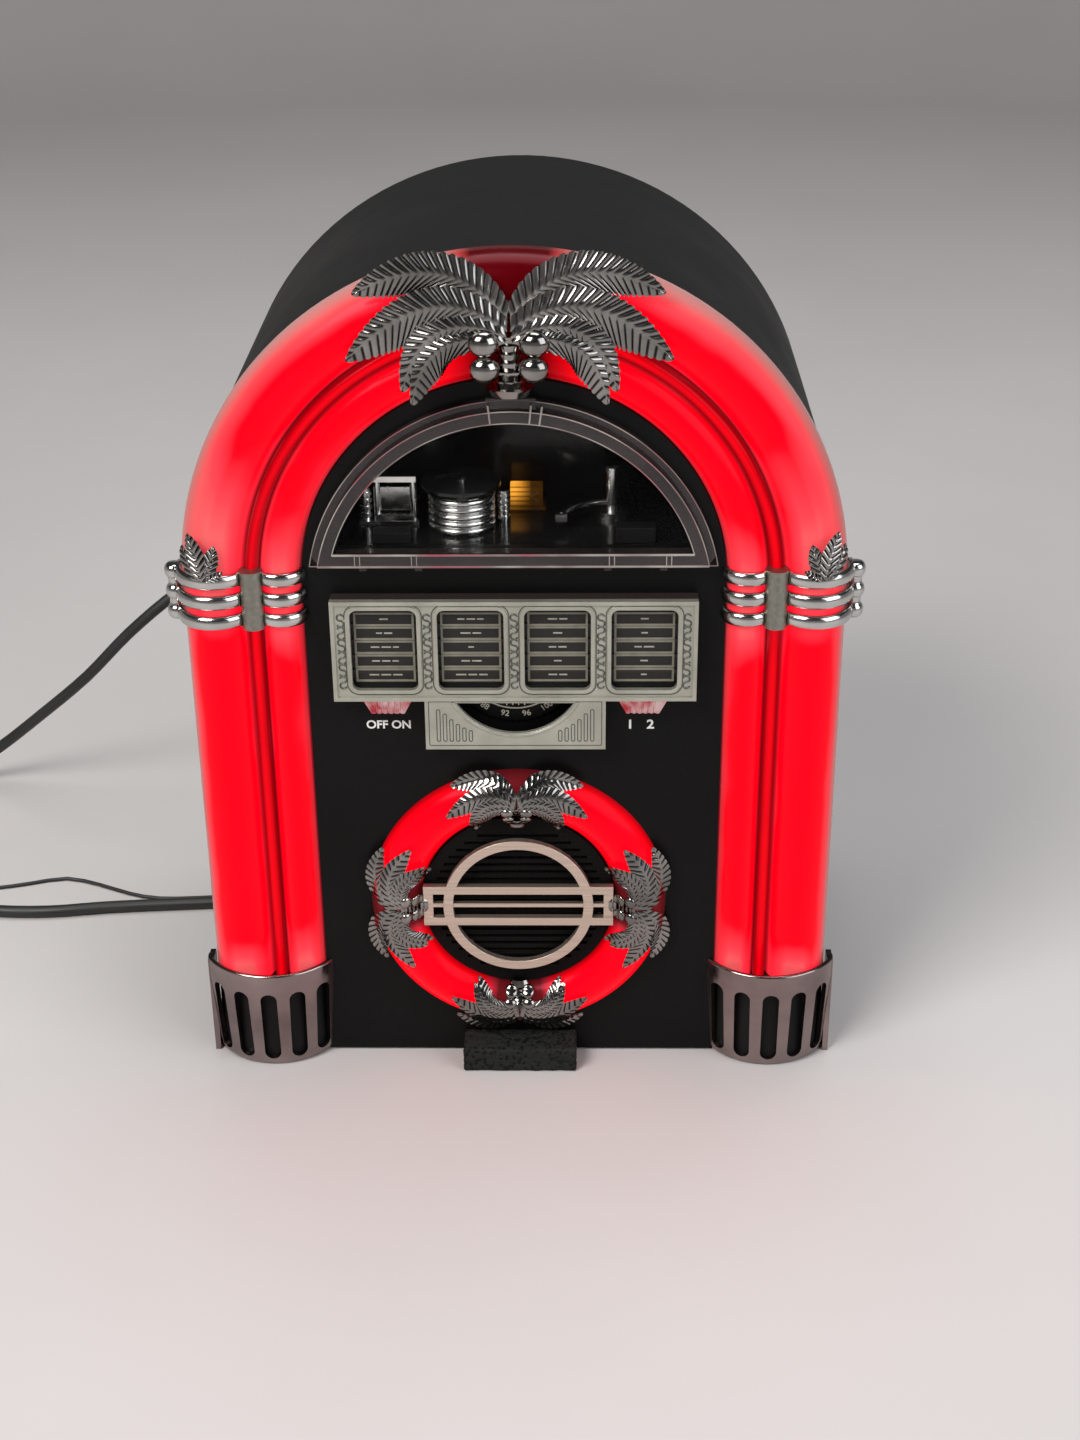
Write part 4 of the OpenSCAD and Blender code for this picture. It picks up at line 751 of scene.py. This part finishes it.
def addOutline(bm, x, y, z, wide, high, line, corner=0.0):
    # a flat frame, with rounded corners where they are asked for
    made = placedGrid(bm, x, y, z, wide, high)
    face = made[0].link_faces[0]
    if corner:
        rounded = bmesh.ops.bevel(bm, geom=made, offset=corner / 1000, affect="VERTICES", segments=5, profile=0.5,
                                  material=-1)
        face = max((g for v in rounded["verts"] for g in v.link_faces), key=lambda g: g.calc_area())
    bmesh.ops.inset_region(bm, faces=[face], thickness=line / 1000, use_boundary=True, use_even_offset=True)
    bmesh.ops.delete(bm, geom=[face], context="FACES")


def titleCards(s):
    frames, cards, dashes = bmesh.new(), bmesh.new(), bmesh.new()
    draw = random.Random(11)
    for k in (-1.5, -0.5, 0.5, 1.5):
        for row in range(5):
            x, z = k * s["step"], s["middle"] + (row - 2) * s["pitch"]
            addOutline(frames, x, s["face"], z, s["wide"], s["high"], s["line"])
            placedGrid(cards, x, s["face"] + 0.25, z, s["wide"] - s["line"], s["high"] - s["line"])
            count = draw.choice((1, 2, 2, 3))
            lengths = [draw.uniform(1.8, 3.6) for i in range(count)]
            left = x - (sum(lengths) + s["space"] * (count - 1)) / 2
            for long in lengths:
                placedGrid(dashes, left + long / 2, s["face"] + 0.2, z, long, s["dash"])
                left += long + s["space"]
    for bm, thick in ((frames, 0.5), (cards, 0.3), (dashes, 0.1)):
        bmesh.ops.solidify(bm, geom=bm.faces[:], thickness=thick / 1000)
        bmesh.ops.recalc_face_normals(bm, faces=bm.faces)
    return frames, cards, dashes


frames, cards, dashes = titleCards(stripSet)
addPiece("titleFrames", frames, "olive", swaps=("title_strips",))
addPiece("titleCards", cards, "strip")
addPiece("titleDashes", dashes, "dash")


# title plate: painted shadow lines round its windows, its ribs beside the dial and its tab, and scrolls on the
# upright bands

plateSet = {
    "face": -7.0, "step": 29.3, "middle": 169.0, "wide": 22.4, "high": 28.6, "out": 2.0, "line": 0.38, "lift": 1.1,
    "tops": (170, 184.6), "tab": (59.6, 133.1, 150.3), "lip": (161.2, 24.2, 0.55, 62.0),
    "beads": (0, 28.86, 57.72), "beadHalf": (1.7, 13.5), "ribArea": (14, 150.4), "ribLow": 134.7, "ribWide": 1.5,
    "ribs": [(26.4, 147.2), (24.2, 145.6), (22, 143.4), (19.8, 141.6), (17.6, 140.2), (15.4, 139.2)],
}
scrollSet = {"columns": (-58.3, -29.3, 0.0, 29.3, 58.3), "rows": 6, "pitch": 4.6, "middle": 169.0, "face": -7.1,
             "turn": 1.15, "arc": 250, "thick": 0.3}


def plateShadowLines(s):
    bm = bmesh.new()
    # each outline is a painted shadow line along a raised edge of the plate
    y = s["face"] - 0.06
    for k in (-1.5, -0.5, 0.5, 1.5):
        addOutline(bm, k * s["step"], y, s["middle"] + s["lift"] / 2, s["wide"] + 2 * s["out"],
                   s["high"] + s["lift"] + 2 * s["out"], s["line"], 4.2)
    low = s["ribLow"]
    for side in (-1, 1):
        for x, top in s["ribs"]:
            addOutline(bm, side * x, y, (top + low) / 2, s["ribWide"], top - low, 0.34, 0.7)
    wide, low, top = s["tab"]
    addOutline(bm, 0, y, (low + top) / 2, wide, top - low, 0.3, 0.8)
    bmesh.ops.solidify(bm, geom=bm.faces[:], thickness=0.0001)
    bmesh.ops.recalc_face_normals(bm, faces=bm.faces)
    return bm


def crescentLip(s):
    # a half-round lip round the dial's opening
    bm = bmesh.new()
    axis, radius, thick, reach = s["lip"]
    centre = at(0, s["face"], axis)
    turned = Matrix.Translation(centre) @ Matrix.Rotation(math.radians(reach), 4, "Y")
    place = turned @ Matrix.Translation((0, 0, -radius / 1000)) @ Matrix.Rotation(math.pi / 2, 4, "Y")
    addTube(bm, place, thick, 10, cent=centre, axis=(0, 1, 0), angle=-math.radians(2 * reach), steps=40,
            use_merge=False)
    return closedUp(bm, 10)


def plateScrolls(s):
    bm = bmesh.new()
    for x in s["columns"]:
        for row in range(s["rows"]):
            z = s["middle"] + (row - (s["rows"] - 1) / 2) * s["pitch"]
            way = 1 if row % 2 else -1
            for half in (1, -1):
                place = Matrix.Translation(at(x, s["face"], z)) @ Matrix.Rotation(math.pi / 2, 4, "Y")
                addTube(bm, place, s["thick"], 6, cent=at(x, s["face"], z + half * s["turn"]), axis=(0, 1, 0),
                        angle=way * math.radians(s["arc"]), steps=12, use_merge=False)
    return closedUp(bm, 6)


def titlePlate(s):
    # the solid's own ribs and beads are pressed flat for the painted shadow outlines and the scrolls, and the
    # windows' tops lifted a little
    bm = mergedCopy("title_plate")
    face = at(0, s["face"], 0).y
    halfWide, halfHigh = s["beadHalf"]
    ribsFrom, ribsUnder = s["ribArea"]
    for v in bm.verts:
        x, z = abs(v.co.x) * 1000, v.co.z * 1000
        bead = min(abs(x - c) for c in s["beads"]) < halfWide and abs(z - s["middle"]) < halfHigh
        rib = z < ribsUnder and x > ribsFrom
        if v.co.y < face - 1e-5 and (bead or rib):
            v.co.y = face
        if s["tops"][0] < z < s["tops"][1]:
            v.co.z += s["lift"] / 1000
    return cleaned(bm)


addPiece("titlePlate", titlePlate(plateSet), "silver", swaps=("title_plate",), edge=0.25)
addPiece("crescentLip", crescentLip(plateSet), "silver")
addPiece("plateShadowLines", plateShadowLines(plateSet), "scrollAndShadowLine")
addPiece("plateScrolls", plateScrolls(scrollSet), "scrollAndShadowLine", angle=60)
print("title plate made")


# palms: fronds are grids bent along a midrib, with ribbed leaflets swept to the tip

crestSet = {
    "samples": 4, "across": 12, "sweep": 0.8, "ribs": 0.55, "teeth": 0.13, "roof": 2.6, "skin": 0.7,
    "fronds": [  # root, bend and tip of the midrib, leaflets, width over and under it, height, fall to the tip
        ((0.5, 29), (19, 59), (50, 38), 21, 7.6, 10.5, 4.6, 1.6),
        ((0.5, 25), (24, 49), (53, 13), 21, 7.0, 13.0, 6.6, 3.0),
        ((0.6, 23), (27, 38), (35, 1), 17, 6.0, 9.0, 7.6, 3.6),
        ((1.0, 21), (27, 30), (32, -4), 16, 4.0, 8.6, 8.6, 3.8),
    ],
    "nuts": [(8.0, 11.2), (8.2, 20.9)], "nutSize": 5.1, "nutFront": 9.6,
    "trunk": (7.6, 6.4, 5.4, 4.8, 4.4, 4.2, 4.0), "trunkHigh": 23, "hang": 3.7,
}


def midrib(f, t):
    a, b, c = (Vector(p) for p in f[:3])
    return (1 - t) * (1 - t) * a + 2 * t * (1 - t) * b + t * t * c


def addFrond(bm, f, s, mirror):
    leaves, over, under, high, fall = f[3:]
    ridges = bm.verts.layers.float["ridge"]
    made = bmesh.ops.create_grid(bm, x_segments=leaves * s["samples"], y_segments=s["across"], size=1)["verts"]
    for v in made:
        t, side = (v.co.x + 1) / 2, v.co.y
        way = (midrib(f, min(1, t + 0.01)) - midrib(f, max(0, t - 0.01))).normalized()
        step = abs(math.sin(math.pi * t * leaves)) ** 0.8
        out = max(0, math.sin(math.pi * (0.05 + 0.95 * t) ** 0.8)) ** 0.7
        half = max(0.15, (over if side > 0 else under) * out * (1 - s["teeth"] * (1 - step))) * side
        place = midrib(f, t) + half * Vector((-way.y, way.x)) + abs(half) * s["sweep"] * way
        roof = s["roof"] * out * (1 - abs(side)) ** 1.2
        height = high - fall * t * t + roof + s["ribs"] * step * min(1, 4 * abs(side))
        v[ridges] = max(step, 1 - 5 * abs(side))
        v.co = (mirror * place.x, -height, place.y)
    faces = list({g for v in made for g in v.link_faces})
    bmesh.ops.recalc_face_normals(bm, faces=faces)
    if sum(g.normal.y for g in faces) > 0:
        bmesh.ops.reverse_faces(bm, faces=faces)
    bmesh.ops.solidify(bm, geom=faces, thickness=s["skin"])


def palmRelief(s):
    bm = bmesh.new()
    ridges = bm.verts.layers.float.new("ridge")
    for f in s["fronds"]:
        for mirror in (1, -1):
            addFrond(bm, f, s, mirror)
    plain = []
    for x, z in s["nuts"]:
        for mirror in (1, -1):
            place = Matrix.Translation((mirror * x, -s["nutFront"], z))
            plain += bmesh.ops.create_uvsphere(bm, u_segments=24, v_segments=14, radius=s["nutSize"],
                                               matrix=place)["verts"]
    step = s["trunkHigh"] / len(s["trunk"])
    for k, radius in enumerate(s["trunk"]):  # the trunk is a stack of short flared rings
        place = Matrix.Translation((0, -5, (k + 0.5) * step)) @ Matrix.Rotation(0.4 * k, 4, "Z")
        plain += bmesh.ops.create_cone(bm, cap_ends=True, segments=11, radius1=radius * 0.8, radius2=radius * 1.06,
                                       depth=step, matrix=place)["verts"]
    for v in plain:
        v[ridges] = 1
    return bm


def fitTo(bm, low, high):
    least = Vector([min(v.co[i] for v in bm.verts) for i in range(3)])
    most = Vector([max(v.co[i] for v in bm.verts) for i in range(3)])
    for v in bm.verts:
        v.co = Vector([low[i] + (v.co[i] - least[i]) / (most[i] - least[i]) * (high[i] - low[i]) for i in range(3)])


crest = palmRelief(crestSet)
low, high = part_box("crest_palm")
fitTo(crest, low - Vector((0, 0, crestSet["hang"] / 1000)), high)
addPiece("crestPalm", crest, "palm", swaps=("crest_palm",), angle=60)

ringPalmSet = dict(
    crestSet, across=8, ribs=0.9, nuts=[(6.4, 9), (7.2, 18.5)], nutSize=5.0,
    trunk=(7.6, 7.0, 6.2, 5.6, 5.2, 5.0, 4.8), fronds=[f[:3] + (12,) + f[4:] for f in crestSet["fronds"]])
ringSet = {"axis": 67.1, "outer": 53.2, "inner": 35.0, "high": 6.5, "wide": 50.0, "tall": 24.0}


def ringDome(s, radius):
    # height of the lit ring's front at a radius
    mid, half = (s["outer"] + s["inner"]) / 2, (s["outer"] - s["inner"]) / 2
    arc = (half * half + s["high"] ** 2) / (2 * s["high"])
    off = min(half, abs(radius - mid))
    return s["high"] - arc + math.sqrt(arc * arc - off * off)


def ringPalms(s):
    low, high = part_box("speaker_palms")
    bm = palmRelief(ringPalmSet)
    fitTo(bm, (-s["wide"] / 2000, low.y, high.z - s["tall"] / 1000), (s["wide"] / 2000, high.y, high.z))
    for v in bm.verts:  # the fronds lie down with the ring's slope
        radius = math.hypot(v.co.x * 1000, v.co.z * 1000 - s["axis"])
        v.co.y += 0.8 * (s["high"] - max(ringDome(s, radius), 1.0)) / 1000
    first = list(bm.verts) + list(bm.edges) + list(bm.faces)
    for k in (1, 2, 3):
        made = bmesh.ops.duplicate(bm, geom=first)["geom"]
        bmesh.ops.rotate(bm, verts=[g for g in made if isinstance(g, bmesh.types.BMVert)], cent=at(0, 0, s["axis"]),
                         matrix=Matrix.Rotation(math.radians(90 * k), 3, "Y"))
    return bm


addPiece("speakerPalms", ringPalms(ringSet), "palm", swaps=("speaker_palms",), angle=60)

sprigSet = dict(
    crestSet, across=8, ribs=0.9, roof=1.1, skin=0.4, box=((96.2, 195.4), (110.6, 212.8)), lobe=(101.0, 12.4),
    forward=1.2, fronds=[
        ((1, 0), (5.5, 5), (7, 12), 6, 2.6, 3.0, 1.2, 0.3),
        ((-1, 0.5), (-3.4, 5), (-5.6, 12.5), 6, 3.2, 3.2, 1.2, 0.3),
        ((-1, 0), (-4, 2), (-8, 3), 5, 1.9, 1.6, 1.4, 0.2),
        ((0, 0), (0.4, 8), (4.2, 17), 8, 3.6, 3.6, 2.0, 0.3),
    ])


def clampSprigs(s):
    front, back = (corner.y - s["forward"] / 1000 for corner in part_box("clamp_sprigs"))
    bm = bmesh.new()
    bm.verts.layers.float.new("ridge")
    for f in s["fronds"]:
        addFrond(bm, f, s, 1)
    (left, low), (right, top) = s["box"]
    fitTo(bm, (left / 1000, front, low / 1000), (right / 1000, back, top / 1000))
    middle, radius = s["lobe"]
    for v in bm.verts:  # bent round the tube
        off = min(abs(v.co.x * 1000 - middle), radius)
        v.co.y += (radius - math.sqrt(radius * radius - off * off)) / 1000
    bmesh.ops.mirror(bm, geom=list(bm.verts) + list(bm.edges) + list(bm.faces), axis="X", merge_dist=-1)
    bmesh.ops.recalc_face_normals(bm, faces=bm.faces)
    return bm


addPiece("clampSprigs", clampSprigs(sprigSet), "palm", swaps=("clamp_sprigs",), angle=60)
print("palms made")


# rough block under the front edge

blockSet = {"cuts": 14, "rough": 0.35, "corner": 0.8}


def frontBlock(s):
    low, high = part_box("front_foot")
    bm = bmesh.new()
    middle = (low + high) / 2
    bmesh.ops.create_cube(bm, size=1, matrix=Matrix.Translation(middle) @ Matrix.Diagonal((high - low).to_4d()))
    bmesh.ops.bevel(bm, geom=bm.edges[:], offset=s["corner"] / 1000, affect="EDGES", segments=2, profile=0.5,
                    material=-1)
    sides = [e for e in bm.edges if e.calc_length() > 0.004]
    bmesh.ops.subdivide_edges(bm, edges=sides, cuts=s["cuts"], use_grid_fill=True)
    draw = random.Random(5)
    for v in bm.verts:
        pull = Vector([draw.uniform(-1, 0) for i in range(3)]) * s["rough"] / 1000
        v.co += Vector([p if c > m else -p for p, c, m in zip(pull, v.co, middle)])
    return bm


addPiece("frontBlock", frontBlock(blockSet), "block", swaps=("front_foot",), angle=50)


# printed marks: white words under the switches, plain numbers and rings on the dial

def textMesh(words, size, bold):
    data = bpy.data.curves.new("words", "FONT")
    data.body = words
    data.size = size
    data.align_x, data.align_y = "CENTER", "CENTER"
    data.extrude = 0.00004
    data.offset = size * bold
    ob = bpy.data.objects.new("words", data)
    scene.collection.objects.link(ob)
    mesh = bpy.data.meshes.new_from_object(ob.evaluated_get(bpy.context.evaluated_depsgraph_get()))
    bpy.data.objects.remove(ob)
    return mesh


def addWords(bm, words, size, place, turn=0.0, wide=1.0, bold=0.024):
    # words stand upright on a face that looks to the front
    mesh = textMesh(words, size / 1000, bold)
    upright = Matrix.Rotation(math.radians(turn), 4, "Y") @ Matrix.Rotation(math.radians(90), 4, "X")
    mesh.transform(Matrix.Translation(place) @ upright @ Matrix.Diagonal((wide, 1, 1, 1)))
    bm.from_mesh(mesh)
    bpy.data.meshes.remove(mesh)


labelSet = [("OFF ON", -44.2, 4.3, 1.0), ("1   2", 43.1, 4.8, 1.1)]  # words, place, size and stretch
labels = bmesh.new()
for words, x, size, wide in labelSet:
    addWords(labels, words, size, at(x, -0.05, 137.7), wide=wide)
addPiece("switchLabels", labels, "ink")

dialSet = {
    "axis": 161.2, "face": 0.55, "arcs": [(17.0, 0.5), (14.6, 0.3)], "reach": 150, "span": 143,
    "ticks": 15.8, "tickLong": (1.3, 0.7, 0.7), "tickHalf": 0.7, "numbers": 19.6, "size": 3.0, "bold": 0.008,
    "marks": ["54", "60", "66", "72", "80", "88", "92", "96", "100", "104", "108", "120", "140", "160"],
}


def addArc(bm, radius, wide, first, last, s):
    start = bmesh.ops.create_grid(bm, x_segments=1, y_segments=1, size=0.5)["verts"]
    bmesh.ops.delete(bm, geom=start[2:], context="VERTS")
    a, b = start[0], start[1]
    a.co, b.co = at(0, s["face"], s["axis"] - radius), at(0, s["face"], s["axis"] - radius - wide)
    edge = bm.edges.get((a, b)) or bm.edges.new((a, b))
    turn = Matrix.Rotation(math.radians(first), 3, "Y")
    bmesh.ops.rotate(bm, verts=[a, b], cent=at(0, 0, s["axis"]), matrix=turn)
    bmesh.ops.spin(bm, geom=[a, b, edge], cent=at(0, 0, s["axis"]), axis=(0, 1, 0), dvec=(0, 0, 0),
                   angle=math.radians(last - first), steps=max(2, round((last - first) / 6)), use_merge=False)


def dialPrint(s):
    bm = bmesh.new()
    for radius, wide in s["arcs"]:
        addArc(bm, radius, wide, -s["reach"], s["reach"], s)
    count = len(s["marks"])
    for k in range(3 * count - 2):
        angle = -s["span"] + 2 * s["span"] * k / (3 * count - 3)
        long = s["tickLong"][k % 3]
        addArc(bm, s["ticks"] - long / 2, long, angle - s["tickHalf"], angle + s["tickHalf"], s)
    bmesh.ops.solidify(bm, geom=bm.faces[:], thickness=0.00008)
    for k, mark in enumerate(s["marks"]):
        angle = s["span"] - 2 * s["span"] * k / (count - 1)
        place = Matrix.Rotation(math.radians(angle), 3, "Y") @ Vector((0, 0, -s["numbers"]))
        addWords(bm, mark, s["size"], at(place.x, s["face"], s["axis"] + place.z), angle, bold=s["bold"])
    return closedUp(bm)


addPiece("dialPrint", dialPrint(dialSet), "cream", "dial")
print("printed marks made")


# floor, backdrop and light

roomSet = {"floor": (0.56, 0.54, 0.535), "radius": 2.6, "bend": 0.8, "steps": 12, "high": 1.0}


def makeRoom(s):
    # a flat floor that curves up to a round wall
    bm = bmesh.new()
    flat = s["radius"] - s["bend"]
    turns = [math.radians(90 * k / s["steps"]) for k in range(s["steps"] + 1)]
    bend = [(flat + s["bend"] * math.sin(a), s["bend"] - s["bend"] * math.cos(a)) for a in turns]
    line = [bm.verts.new((x, 0, z)) for x, z in [(0, 0)] + bend + [(s["radius"], s["high"])]]
    edges = [bm.edges.new(pair) for pair in zip(line, line[1:])]
    bmesh.ops.spin(bm, geom=line + edges, cent=(0, 0, 0), axis=(0, 0, 1), dvec=(0, 0, 0), angle=2 * math.pi,
                   steps=96, use_merge=True)
    bmesh.ops.remove_doubles(bm, verts=bm.verts, dist=1e-5)
    bmesh.ops.recalc_face_normals(bm, faces=bm.faces)
    if max(bm.faces, key=lambda g: g.calc_center_median().z).normal.dot(Vector((1, 0, 0))) > 0:
        bmesh.ops.reverse_faces(bm, faces=bm.faces)
    mesh = bpy.data.meshes.new("floor")
    bm.to_mesh(mesh)
    bm.free()
    smoothMesh(mesh, 60)
    floor = bpy.data.objects.new("floor", mesh)
    scene.collection.objects.link(floor)
    floor.data.materials.append(plainFinish("floorPale", s["floor"], (0.5, 0.62), size=3, change=0.05, bump=0.02))


lampSet = {
    "key": {"place": (-0.9, -1.1, 1.5), "size": 0.9, "power": 36, "colour": (1, 0.97, 0.94)},
    "fill": {"place": (1.2, -0.9, 0.9), "size": 1.2, "power": 15, "colour": (0.94, 0.97, 1)},
    "top": {"place": (0.1, 0.3, 1.7), "size": 1.0, "power": 14, "colour": (1, 1, 1)},
}


skySet = {"colour": (0.36, 0.37, 0.39, 1), "strength": 0.13}


def makeLamps(lamps, sky):
    for name, s in lamps.items():
        data = bpy.data.lights.new(name, "AREA")
        data.energy = s["power"]
        data.size = s["size"]
        data.color = s["colour"]
        ob = bpy.data.objects.new(name, data)
        scene.collection.objects.link(ob)
        ob.location = s["place"]
        ob.rotation_euler = (Vector((0, 0, 0.15)) - Vector(s["place"])).to_track_quat("-Z", "Y").to_euler()
    world = bpy.data.worlds.new("world")
    scene.world = world
    world.use_nodes = True
    world.node_tree.nodes["Background"].inputs["Color"].default_value = sky["colour"]
    world.node_tree.nodes["Background"].inputs["Strength"].default_value = sky["strength"]


makeRoom(roomSet)
makeLamps(lampSet, skySet)
print("room and light made")
